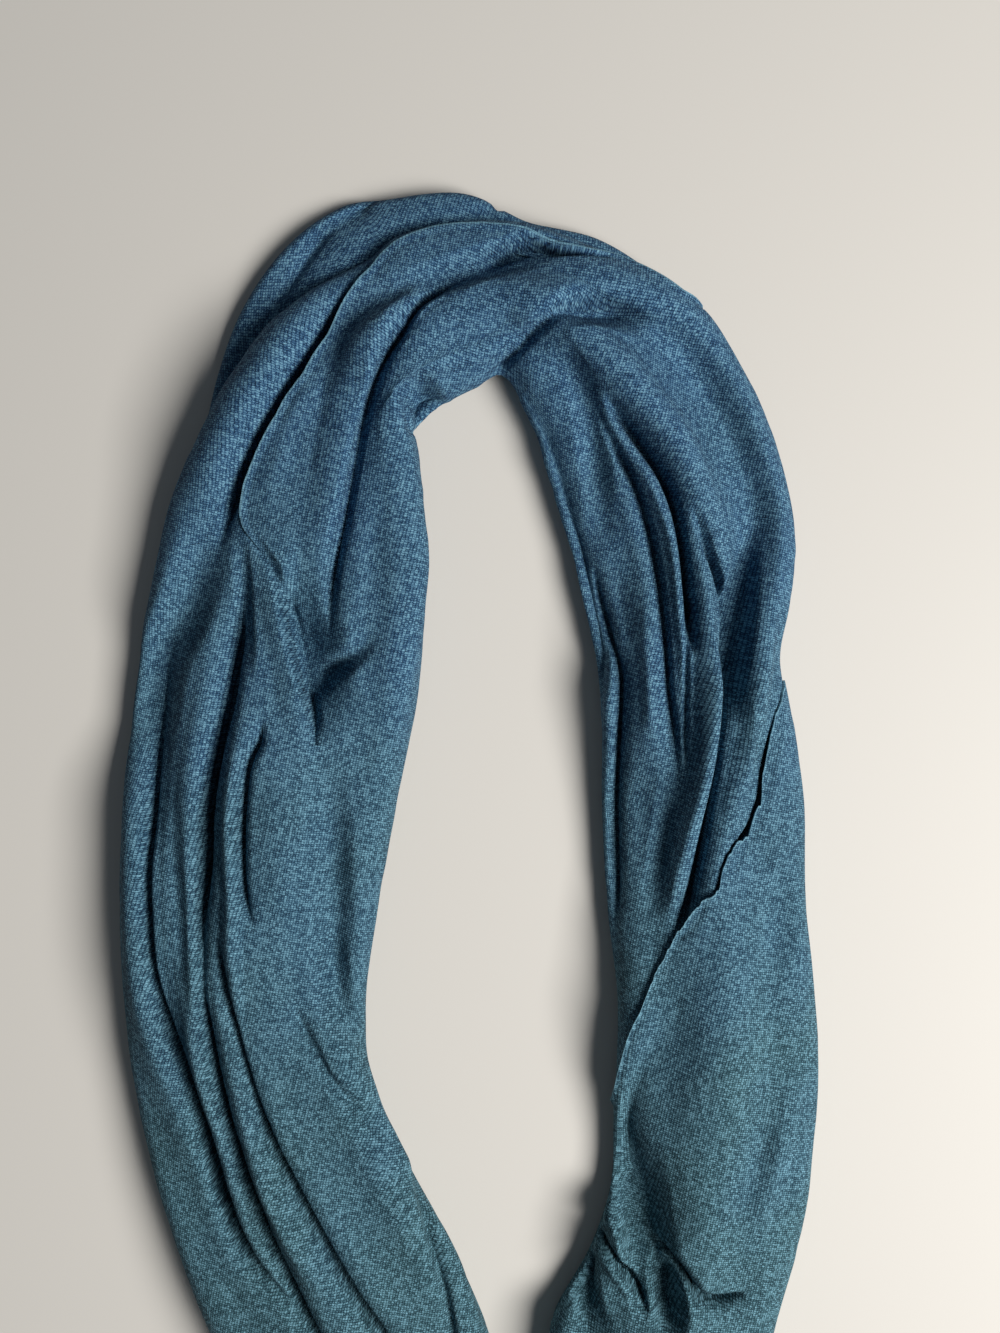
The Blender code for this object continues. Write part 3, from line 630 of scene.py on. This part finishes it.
OVER_STEEPER = 0.01  # share of the width by which it sinks more steeply there
EDGE_TUCK = 8.0  # how deep the crown's edge is tucked in under it there
EDGE_TUCK_REACH = 8.0
EDGE_TUCK_EASE = 0.4
UNDER_FOLDS = laid_out((
    (17, 26, 12, 38, ((372, 272), (340, 292), (310, 320), (290, 345), (270, 375), (250, 403),
        (235, 430), (220, 460), (205, 490), (190, 530), (176, 575))),
    (5, 8, -7, 40, ((240, 535), (244, 570), (247, 610), (249, 650), (247, 690))),
))
UNDER_CREASES = laid_out((
    (8, 18, 22, 34, ((400, 258), (360, 290), (332, 322), (313, 354), (297, 378), (271, 421),
        (252, 455), (240, 485), (228, 520), (215, 555))),
))
FOLD_GRID = (270, 90)
OUTSIDE_SHARE = 0.8  # share of its columns that aren't under the lap
LIP_UNDER = 0.06  # how much deeper this layer lies in the hollow than the crown's
LIP_HOLLOW = laid_out((
    (5, 9, -34, 42, ((612, 256), (590, 250), (568, 247), (549, 245), (532, 244), (516, 248),
        (494, 256), (472, 266))),
))


def share_to_column(share, width):
    """Where a share of the strip's width, seen from above, lies among its columns."""
    across = share * width
    turned = np.degrees(np.arccos(np.clip(1 - across / OUTER_ROLL, -1, 1)))
    rolled = SIDE_SHARE * (turned - HEM_ANGLE) / (90 - HEM_ANGLE)
    flat = (across - OUTER_ROLL) / (width - OUTER_ROLL - INNER_ROLL)
    return np.where(across < OUTER_ROLL, rolled, SIDE_SHARE + flat * (1 - 2 * SIDE_SHARE))


def lap_column(s):
    """The column of the strip in which the crown's edge lies."""
    at, shares = np.array(LAP_EDGE).T
    ox, oy, ix, iy = section(s)[:4]
    return share_to_column(np.interp(s, at, shares), np.hypot(ix - ox, iy - oy))


def rolled_over(s):
    """How far the round fold rolls over the crown's edge, from 0 to 1."""
    return 1 - smooth((s - OVER_UNTIL) / OVER_EASE)


def edge_tuck(s, from_edge):
    """How deep the crown's panel is tucked in at a distance from its edge."""
    tucked = smooth((s - LAP_AT) / EDGE_TUCK_EASE) * rolled_over(s)
    return EDGE_TUCK * tucked * (1 - smooth(from_edge / EDGE_TUCK_REACH))


# Folds of the crown's panel, which the round fold lies under
LAP_FOLDS = laid_out((
    (9, 22, 9, 44, ((500, 256), (470, 270), (432, 290), (405, 312), (380, 335), (362, 375),
        (352, 430), (342, 490), (332, 540), (318, 590), (306, 640))),
    (18, 14, -4, 40, ((372, 300), (345, 345), (322, 400), (303, 450), (290, 510), (292, 570))),
    (13, 12, -11, 40, ((570, 250), (545, 247), (518, 252), (487, 260), (439, 277), (405, 288),
        (372, 302))),
    (36, 8, -35, 34, ((310, 530), (299, 575), (291, 610), (291, 642), (296, 672), (303, 698),
        (311, 722), (320, 748))),
    (9, 24, 10, 42, ((520, 325), (500, 338), (473, 350), (440, 359), (415, 367), (398, 382),
        (391, 402), (392, 421), (401, 453), (408, 500), (412, 560))),
    (16, 10, -20, 36, ((400, 378), (410, 390), (420, 403), (430, 420), (440, 438))),
    (30, 8, -4, 38, ((494, 330), (508, 352), (528, 388), (546, 424), (560, 470), (572, 520))),
    (5, 13, -13, 40, ((548, 318), (565, 312), (582, 309), (600, 309), (620, 311), (642, 318),
        (660, 328))),
))
LAP_CREASES = laid_out((
    (17, 9, 22, 38, ((475, 268), (445, 285), (417, 306), (396, 341), (375, 381), (362, 421),
        (353, 466), (344, 514), (335, 560), (330, 600), (329, 640))),
    (8, 20, 14, 40, ((480, 378), (494, 368), (505, 358), (526, 337), (545, 321), (560, 311),
        (575, 305), (590, 303), (610, 303), (630, 307), (655, 318))),
))
CROWN_FOLDS = laid_out((
    (28, 13, 8, 46, ((462, 354), (480, 343), (503, 331), (541, 306), (572, 291), (602, 285),
        (633, 291), (664, 300), (694, 316), (720, 337), (750, 375), (768, 425))),
    (48, 10, -12, 40, ((504, 352), (525, 388), (548, 440), (565, 495), (578, 545), (590, 600),
        (600, 650), (607, 710), (613, 790))),
    (18, 26, -15, 40, ((606, 312), (640, 324), (672, 344), (700, 376), (730, 430), (752, 490),
        (758, 535), (751, 593), (738, 641), (728, 700))),
    (16, 18, 9, 44, ((530, 325), (569, 325), (605, 355), (640, 395), (672, 437), (698, 485),
        (722, 530), (734, 580))),
    (10, 12, -8, 40, ((544, 330), (560, 350), (572, 368), (583, 390), (592, 425), (598, 470),
        (601, 520), (604, 570))),
))

rows = np.linspace(LAP_AT, FOLD_END, FOLD_GRID[0])[:, None]
lap_at = lap_column(rows)
outside = int(FOLD_GRID[1] * OUTSIDE_SHARE)
outside_columns = lap_at * np.linspace(0, 1, outside)[None, :]
under_columns = lap_at + LAP_UNDER * np.linspace(0, 1, FOLD_GRID[1] - outside + 1)[None, 1:]
e = np.concatenate([outside_columns, under_columns], 1)
s = rows + np.zeros_like(e)
points, normals = plain_strip(s, e)
strip_rise = fold_rise(points, normals, ARM_FOLDS + CROWN_FOLDS, ARM_CREASES) + wrinkles(s, e)
rise = strip_rise + fold_rise(points, normals, UNDER_FOLDS, UNDER_CREASES)
lap_rise = strip_rise + fold_rise(points, normals, LAP_FOLDS, LAP_CREASES)
steeper = OVER_STEEPER * rolled_over(s)
past = smooth((e - lap_at + SINKS_EARLY - steeper) / (GOES_UNDER - steeper))
from_edge = np.linalg.norm(points - plain_strip(rows, lap_at)[0], axis=-1)
below = lap_rise - edge_tuck(s, from_edge) - LAPPED - MORE_AIR
rise = rise + (np.minimum(rise, below) - rise) * past
hollow = fold_rise(points, normals, LIP_HOLLOW, ()) * past
shell = settled(points, normals, rise + hollow)
shell[..., 2] += LIP_UNDER * hollow
outer_fold = cloth_piece("outer_fold", shell, normals, knit_place(s, e), jersey)
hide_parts("left_fold")

# The crown
# The panel where it turns over the top of the loop. Its long cut edge shows as a thin line over
# the round fold, and its own folds run on down the right arm.

CROWN_GRID = (240, 170)
EDGE_CURL = 1.8  # how far a cut edge curls up, and over what width
EDGE_CURL_REACH = 5.0
FRAY_AND_HIGHLIGHT_WIDTH = 1.2  # paler width along a cut edge: its fluffed yarn and a painted highlight on its curled rim
CURL_FROM = 11.3  # section below which the edge fades into the cloth
RAW_FROM = 12.8  # and below which it is a fold, not a raw edge
LIP_RIM = 1.4
LIP_TUCK = 0.12  # how far the hollow reaches in under the lip, for its depth
EDGE_ENDS_OVER = 0.3  # sections over which the edge ends, and its curl and its pale line of fray and painted highlight come
CURL_COMES_OVER = 1.2
FRAY_AND_HIGHLIGHT_COMES_OVER = 0.8
CLOSER_AT_EDGE = 1.25  # columns stand closer along the cut edge

RIGHT_FOLDS = laid_out((
    (7, 6, 6, 44, ((640, 450), (657, 490), (673, 543), (681, 607), (687, 660), (688, 700))),
    (8, 10, 14, 42, ((698, 560), (706, 607), (709, 660), (709, 713), (707, 767), (697, 820),
        (685, 873), (672, 920))),
    (12, 9, -38, 34, ((746, 520), (745, 565), (740, 610), (733, 650), (727, 690), (722, 722))),
    (10, 9, 8, 40, ((772, 560), (766, 640), (758, 700), (748, 750), (738, 800), (726, 850))),
    (7, 6, 5, 40, ((620, 620), (613, 663), (610, 740), (610, 800), (613, 860))),
    (16, 14, 8, 46, ((636, 540), (648, 620), (653, 690), (650, 750), (645, 810))),
    (36, 8, -10, 42, ((608, 700), (612, 760), (615, 820), (616, 880), (615, 940), (615, 1010))),
    (9, 10, -8, 42, ((676, 760), (670, 820), (662, 870), (653, 925))),
))
RIGHT_CREASES = laid_out((
    (12, 12, 17, 40, ((590, 395), (612, 442), (634, 482), (647, 522), (659, 580), (665, 641),
        (669, 690), (675, 740), (680, 800))),
    (15, 12, 31, 38, ((602, 394), (622, 420), (640, 446), (660, 476), (674, 509), (683, 551),
        (688, 595), (690, 630), (691, 655))),
    (8, 7, 6, 42, ((687, 600), (686, 640), (685, 690), (686, 740), (686, 780))),
    (13, 11, 28, 36, ((688, 500), (708, 548), (724, 592), (729, 640), (724, 700), (713, 780),
        (701, 847), (685, 912), (675, 940))),
    (10, 5, 13, 40, ((783, 700), (775, 730), (767, 765), (762, 800), (752, 826), (740, 842),
        (730, 858), (722, 880), (712, 893))),
    (9, 8, 18, 42, ((594, 560), (601, 600), (611, 635), (620, 670), (622, 700), (619, 753),
        (615, 817), (616, 890), (620, 930))),
))

rows = np.linspace(LAP_AT, RIGHT_AT, CROWN_GRID[0])[:, None]
lap_at = lap_column(rows)
e = lap_at + (1 - lap_at) * np.linspace(0, 1, CROWN_GRID[1])[None, :] ** CLOSER_AT_EDGE
s = rows + np.zeros_like(e)
points, normals = plain_strip(s, e)
folds = ARM_FOLDS + LAP_FOLDS + CROWN_FOLDS + RIGHT_FOLDS
creases = ARM_CREASES + LAP_CREASES + RIGHT_CREASES
rise = fold_rise(points, normals, folds, creases) + wrinkles(s, e)
from_edge = np.linalg.norm(points - points[:, :1], axis=-1)
cut = 1 - smooth((s - FOLD_END) / EDGE_ENDS_OVER)
cut = cut * smooth((s - CURL_FROM) / CURL_COMES_OVER)
rise = rise + cut * EDGE_CURL * (1 - smooth(from_edge / EDGE_CURL_REACH))
rise = rise - edge_tuck(s, from_edge)
hollow = fold_rise(points, normals, LIP_HOLLOW, ()) * smooth((from_edge - LIP_RIM) / LIP_RIM)
rise = rise + hollow
# the paler line of fray and painted highlight along the crown's cut edge
cut = cut * (from_edge < FRAY_AND_HIGHLIGHT_WIDTH) * smooth((s - RAW_FROM) / FRAY_AND_HIGHLIGHT_COMES_OVER)
shell = settled(points, normals, rise)
shell[..., :2] -= LIP_TUCK * hollow[..., None] * normals[..., :2]
crown = cloth_piece("crown", shell, normals, knit_place(s, e), jersey, cut=cut)
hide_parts("crown_stretch")

# The right arm
# The same panel going down the right, drawn into deep parallel folds that run in under the flap.

FLAP_EDGE = (  # share of the width, section
    (0.0, 30.25),
    (0.097, 30.76),
    (0.146, 31.05),
    (0.215, 31.54),
    (0.242, 31.84),
    (0.292, 32.03),
    (0.316, 32.19),
    (0.39, 32.32),
    (0.452, 32.54),
    (0.47, 32.75),
    (0.557, 32.91),
    (0.643, 33.13),
    (0.749, 33.48),
    (0.851, 33.86),
    (0.9, 34.14),
    (0.948, 34.45),
    (0.976, 34.77),
    (1.0, 35.2),
)
ARM_WIDTH = 120.0  # of the right arm under that edge
FLAP_UNDER = 0.5  # sections that the arm goes on under the flap
FLAP_SINK = 0.06  # and over which it sinks there
FLAP_DRAPE = 0.9  # sections over which the flap follows what it covers
FLAP_SAG = -2.5  # how far it sinks into the creases it bridges
RIGHT_GRID = (170, 190)


def column_share(e):
    """The share of the arm's width, seen from above, at which a column lies, from its hole."""
    first = OUTER_ROLL * (1 - np.cos(np.radians(np.maximum(side_turn(e), 0))))
    last = INNER_ROLL * (1 - np.cos(np.radians(np.maximum(side_turn(1 - e), 0))))
    middle = (e - SIDE_SHARE) / (1 - 2 * SIDE_SHARE)
    across = first + np.clip(middle, 0, 1) * (ARM_WIDTH - OUTER_ROLL - INNER_ROLL)
    return (across + INNER_ROLL - last) / ARM_WIDTH


def flap_section(e):
    """The section at which the flap's edge lies in a column."""
    shares, at = np.array(FLAP_EDGE).T
    return np.interp(column_share(e), shares, at)


FLAP_FOLDS = laid_out((
    (28, 26, 5, 50, ((745, 860), (740, 930), (735, 1000), (735, 1080), (730, 1150))),
    (14, 14, -5, 46, ((782, 860), (786, 920), (782, 985))),
    (46, 8, -12, 42, ((628, 950), (621, 1010), (616, 1070), (610, 1125), (610, 1175),
        (622, 1222), (638, 1268), (652, 1320))),
    (26, 12, -22, 42, ((616, 1110), (624, 1160), (631, 1210), (639, 1255), (646, 1300),
        (654, 1350))),
    (13, 11, 4, 42, ((586, 1190), (600, 1206), (614, 1226), (626, 1246), (638, 1270))),
    (7, 7, 7, 40, ((576, 1236), (590, 1250), (604, 1264), (622, 1284), (640, 1306),
        (655, 1326))),
    (14, 9, -24, 38, ((556, 1232), (566, 1262), (576, 1290), (586, 1320), (596, 1352))),
    (50, 16, -8, 38, ((556, 1240), (566, 1275), (578, 1310), (590, 1345), (604, 1400))),
    (13, 13, -26, 38, ((664, 1262), (668, 1300), (668, 1350))),
    (14, 12, 5, 48, ((788, 1080), (782, 1150), (765, 1220), (745, 1280))),
))
FLAP_CREASES = laid_out((
    (12, 6, 11, 40, ((592, 1164), (610, 1180), (626, 1198), (638, 1216), (648, 1236),
        (655, 1262), (658, 1290))),
    (6, 9, 20, 38, ((572, 1222), (586, 1234), (607, 1256), (625, 1276), (640, 1300),
        (650, 1320))),
    (8, 11, 30, 40, ((646, 1254), (664, 1261), (678, 1269), (689, 1281), (701, 1296),
        (722, 1302), (750, 1296))),
))
FOOT_FOLDS = laid_out((
    (12, 12, 7, 42, ((346, 1320), (402, 1403), (495, 1472), (590, 1467), (662, 1403))),
    (14, 14, 7, 42, ((260, 1300), (330, 1418), (424, 1510), (528, 1543), (653, 1505),
        (735, 1398))),
))
FOOT_CREASES = laid_out((
    (12, 13, 13, 36, ((325, 1333), (387, 1440), (475, 1512), (580, 1512), (668, 1440),
        (712, 1345))),
    (13, 12, 12, 36, ((384, 1333), (434, 1400), (507, 1445), (584, 1428), (636, 1375),
        (665, 1330))),
    (12, 14, 11, 36, ((298, 1310), (350, 1456), (455, 1555), (570, 1570), (675, 1510))),
))


def right_rise(s, e, points, normals):
    """The folds of the crown's panel on the right arm."""
    folds = CROWN_FOLDS + LAP_FOLDS + RIGHT_FOLDS
    return fold_rise(points, normals, folds, LAP_CREASES + RIGHT_CREASES) + wrinkles(s, e)


def flap_rise(s, e, points, normals):
    """The flap's own folds, and near its edge those of the arm that it covers."""
    own = fold_rise(points, normals, FLAP_FOLDS + FOOT_FOLDS, FLAP_CREASES + FOOT_CREASES)
    own = own + wrinkles(s, e)
    covered = np.maximum(right_rise(s, e, points, normals), FLAP_SAG) + LAPPED
    near = 1 - smooth((s - flap_section(e)) / FLAP_DRAPE)
    return np.maximum(own, own + (covered - own) * near)


e = np.linspace(0, 1, RIGHT_GRID[1])[None, :]
ends = flap_section(e) + FLAP_UNDER
rows = np.linspace(0, 1, RIGHT_GRID[0])[:, None]
s = RIGHT_AT + rows * (ends - RIGHT_AT)
e = e + np.zeros_like(s)
points, normals = plain_strip(s, e)
rise = right_rise(s, e, points, normals)
below = np.minimum(rise, flap_rise(s, e, points, normals) - LAPPED)
rise = rise + (below - rise) * smooth((s - flap_section(e) + FLAP_SINK) / FLAP_SINK)
shell = settled(points, normals, rise)
right_arm = cloth_piece("right_arm", shell, normals, knit_place(s, e), jersey)
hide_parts("right_stretch")

# The flap
# The panel that comes up from the foot and is laid over the right arm's folds. Its end is the
# jersey's cut edge, ragged where it was cut in two strokes.

FLAP_GRID = (180, 190)
NICK = 0.024  # how ragged the cut is, in sections
NICKS = (  # size, height, seed
    (2.3, 1.0, 5),
    (6, 0.9, 6),
    (0.9, 0.4, 7),
)
PLAIN_SIDE = 0.1  # share of the columns without nicks or curl
CURL_EASE = 0.15  # and over which the curl begins beside it
CLOSER_AT_CUT = 1.3  # rows stand closer along the cut edge

e = np.linspace(0, 1, FLAP_GRID[1])[None, :]
nicks = 0.0
for size, height, seed in NICKS:
    nicks = nicks + height * drift(STRIP_WIDTH * e, np.zeros_like(e), size, seed)
starts = flap_section(e) + NICK * nicks * smooth(e / PLAIN_SIDE)
rows = np.linspace(0, 1, FLAP_GRID[0])[:, None] ** CLOSER_AT_CUT
s = starts + rows * (FOOT_AT - starts)
e = e + np.zeros_like(s)
points, normals = plain_strip(s, e)
rise = flap_rise(s, e, points, normals)
from_edge = np.linalg.norm(points - points[:1], axis=-1)
curl = EDGE_CURL * (1 - smooth(from_edge / EDGE_CURL_REACH))
rise = rise + curl * smooth((e - PLAIN_SIDE) / CURL_EASE)
# the paler line of fray and painted highlight along the flap's cut edge
cut = (from_edge < FRAY_AND_HIGHLIGHT_WIDTH).astype(float)
shell = settled(points, normals, rise)
flap = cloth_piece("flap", shell, normals, knit_place(s, e), jersey, cut=cut)
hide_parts("flap_stretch")

# The foot
# The end of the loop, where both arms meet and the panel turns back. Its folds are those of the
# two arms carried round.

FOOT_GRID = (150, 150)
s, e = strip_grid(FOOT_AT, ONCE_ROUND + SEAM_AT, FOOT_GRID)
points, normals = plain_strip(s, e)
folds = ARM_FOLDS + FLAP_FOLDS + FOOT_FOLDS
creases = ARM_CREASES + FLAP_CREASES + FOOT_CREASES
rise = fold_rise(points, normals, folds, creases) + wrinkles(s, e)
foot = cloth_piece("foot", settled(points, normals, rise), normals, knit_place(s, e), jersey)
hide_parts("foot_stretch")

# The wound layers
# The rest of the panel's width, wound up under what shows. Its rolled side is seen under both
# hems and, outside the crown, as one broad low fold with a soft crease. Flat on the floor.

LAYER_ROWS = 420
BOTTOM = 0.3  # its underside, just clear of the floor
BOTTOM_LAP = 0.56  # share of the width at which the wound cloth laps over itself underneath
LAPS_BY = 0.1
LAP_AIR = 0.2
UNDER_FROM = (0.1, 0.92)  # where its two sides come under, as shares of the width
UNDER_POINTS = 12
ROLL_ROUND = 6.0
ROLL_TURN = 80  # degrees up and down from level that each side turns through
ROLL_POINTS = 15
HOLE_INSET = 2.0  # how far in its side is at the hole
SHOWN_FROM = 0.12  # share at which the points start of the part that shows outside the hem
SHOWN_TO = 10.0  # how far in under the hem it goes on
SHOWN_POINTS = 26
WIDE_RISE = 0.12  # how much it rises towards the hem for each mm that it shows
HIDDEN = (0.15, 0.9)  # shares of the width over which it lies hidden under the strip
HIDDEN_POINTS = 10
HIDDEN_HEIGHT = 0.9
LAYER_CREASES = (
    (14, 12, 7, ((-50, 428), (-62, 420), (-75, 413), (-82, 406), (-92, 393), (-101, 380),
        (-111, 366), (-121, 350))),
    (6, 7, 4, ((42, 434), (31, 425), (19, 418), (5, 412), (-12, 410))),
)
LAYER_FOLDS = (
    (16, 14, 4, ((-96, 352), (-76, 385), (-46, 408), (-6, 417), (36, 414), (66, 403))),
)


def layer_profile(s):
    """Places across and heights round the wound layers at each section, and the way out."""
    ox, oy, ix, iy, _, layer, reach = section(s)
    width = np.hypot(ix - ox, iy - oy)
    inner = np.minimum(layer, INNER_LAYER)
    level = np.zeros_like(s)
    out = []
    for share in np.linspace(BOTTOM_LAP, UNDER_FROM[0], UNDER_POINTS):
        out.append((share * width, level + BOTTOM, level, level - 1))
    for turn in np.radians(np.linspace(-ROLL_TURN, ROLL_TURN, ROLL_POINTS)):
        x = -reach + ROLL_ROUND * (1 - math.cos(turn))
        z = 0.5 * layer * (1 + math.sin(turn)) + BOTTOM
        out.append((x, z, level - math.cos(turn), level + math.sin(turn)))
    for share in np.linspace(SHOWN_FROM, 1, SHOWN_POINTS):
        x = -reach + ROLL_ROUND + share * (SHOWN_TO + reach)
        rise = np.maximum(reach, 0) * WIDE_RISE * math.sin(share * math.pi / 2)
        out.append((x, layer + BOTTOM + rise, level, level + 1))
    for share in np.linspace(*HIDDEN, HIDDEN_POINTS):
        out.append((share * width, HIDDEN_HEIGHT * inner, level, level + 1))
    for turn in np.radians(np.linspace(ROLL_TURN, -ROLL_TURN, ROLL_POINTS)):
        x = width - HOLE_INSET - ROLL_ROUND * (1 - math.cos(turn))
        z = 0.5 * inner * (1 + math.sin(turn)) + BOTTOM
        out.append((x, z, level + math.cos(turn), level + math.sin(turn)))
    for share in np.linspace(UNDER_FROM[1], BOTTOM_LAP - LAPS_BY, UNDER_POINTS):
        out.append((share * width, level + BOTTOM + JERSEY + LAP_AIR, level, level - 1))
    across, z, lean, up = [np.stack(column, -1) for column in zip(*out)]
    way = np.stack([(ix - ox) / width, (iy - oy) / width], -1)[:, None]
    place = np.stack([ox, oy], -1)[:, None] + way * across[..., None]
    points = np.concatenate([place, z[..., None]], -1)
    return points, np.concatenate([way * lean[..., None], up[..., None]], -1)


s = np.linspace(0, ONCE_ROUND, LAYER_ROWS, endpoint=False)
points, normals = layer_profile(s)
rise = fold_rise(points, normals, LAYER_FOLDS, LAYER_CREASES)
points = points + normals * rise[..., None]
round_it = np.cumsum(np.linalg.norm(np.diff(points, axis=1, prepend=points[:, :1]), axis=-1), 1)
ox, oy, ix, iy = section(s)[:4]
width = np.hypot(ix - ox, iy - oy)
round_it -= round_it[:, UNDER_POINTS + ROLL_POINTS // 2][:, None]
place = [a[:, None] + ((b - a) / width)[:, None] * round_it for a, b in ((ox, ix), (oy, iy))]
layers = cloth_piece("wound_layers", points, normals, place, jersey, ring=True)
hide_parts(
    "left_layers",
    "left_layers_upper",
    "crown_layers",
    "right_layers",
    "right_layers_lower",
    "foot_layers",
)

# The joining seam
# Where the panel's two ends are sewn together, at the foot, with the stitches on the wrong side:
# the allowance folded under makes a low ridge across the cloth.

SEAM_ENDS = (0.04, 0.96)  # shares of the way from hem to hem
ALLOWANCE = 0.07  # half its width, in sections
SEAM_GRID = (9, 150)
SEAM_CLEAR = 0.3
SEAM_HEIGHT = 1.0
seam_columns = np.linspace(*SEAM_ENDS, SEAM_GRID[1])
seam_rows = np.linspace(SEAM_AT - ALLOWANCE, SEAM_AT + ALLOWANCE, SEAM_GRID[0])
s, e = np.meshgrid(seam_rows, seam_columns, indexing="ij")
points, normals = plain_strip(s, e)
rise = fold_rise(points, normals, ARM_FOLDS, ARM_CREASES) + wrinkles(s, e)
ridge = np.sin(np.linspace(0, math.pi, len(seam_rows)))[:, None] ** 0.5
shell = settled(points, normals, rise + SEAM_CLEAR + SEAM_HEIGHT * ridge)
seam = cloth_piece("seam_ridge", shell, normals, knit_place(s, e), jersey)
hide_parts("joining_seam")

# The floor and the light
# A plain pale floor, and soft daylight that comes in through a window on the right.

FLOOR_HALF = 3.0
FLOOR_DOWN = 0.0005  # just under the cloth
FLOOR_COLOUR = (0.6, 0.575, 0.535)
SKY_COLOUR = (0.75, 0.87, 1.0)
SKY_STRENGTH = 0.1
WINDOW_AT = (1.66, -0.45, 1.9)
WINDOW_SIZE = 1.4
WINDOW_POWER = 104
WINDOW_COLOUR = (1.0, 0.98, 0.95)

half = FLOOR_HALF
corners = [(-half, -half, 0), (half, -half, 0), (half, half, 0), (-half, half, 0)]
floor_mesh = bpy.data.meshes.new("floor")
floor_mesh.from_pydata(corners, [], [(0, 1, 2, 3)])
floor = bpy.data.objects.new("floor", floor_mesh)
floor.location.z = -FLOOR_DOWN
bpy.context.scene.collection.objects.link(floor)
floor_finish = bpy.data.materials.new("floor")
floor_finish.use_nodes = True
floor_shader = floor_finish.node_tree.nodes["Principled BSDF"]
floor_shader.inputs["Base Color"].default_value = (*FLOOR_COLOUR, 1)
floor_shader.inputs["Roughness"].default_value = 0.6
floor_mesh.materials.append(floor_finish)

world = bpy.data.worlds.new("daylight")
world.use_nodes = True
world.node_tree.nodes["Background"].inputs["Color"].default_value = (*SKY_COLOUR, 1)
world.node_tree.nodes["Background"].inputs["Strength"].default_value = SKY_STRENGTH
bpy.context.scene.world = world

window_data = bpy.data.lights.new("window", "AREA")
window_data.size = WINDOW_SIZE
window_data.energy = WINDOW_POWER
window_data.color = WINDOW_COLOUR
window = bpy.data.objects.new("window", window_data)
window.location = WINDOW_AT
x, y, z = WINDOW_AT
down = math.atan2(z, math.hypot(x, y))
window.rotation_euler = (math.pi / 2 - down, 0, math.atan2(-y, -x) - math.pi / 2)
bpy.context.scene.collection.objects.link(window)
bpy.context.scene.view_settings.view_transform = "Standard"
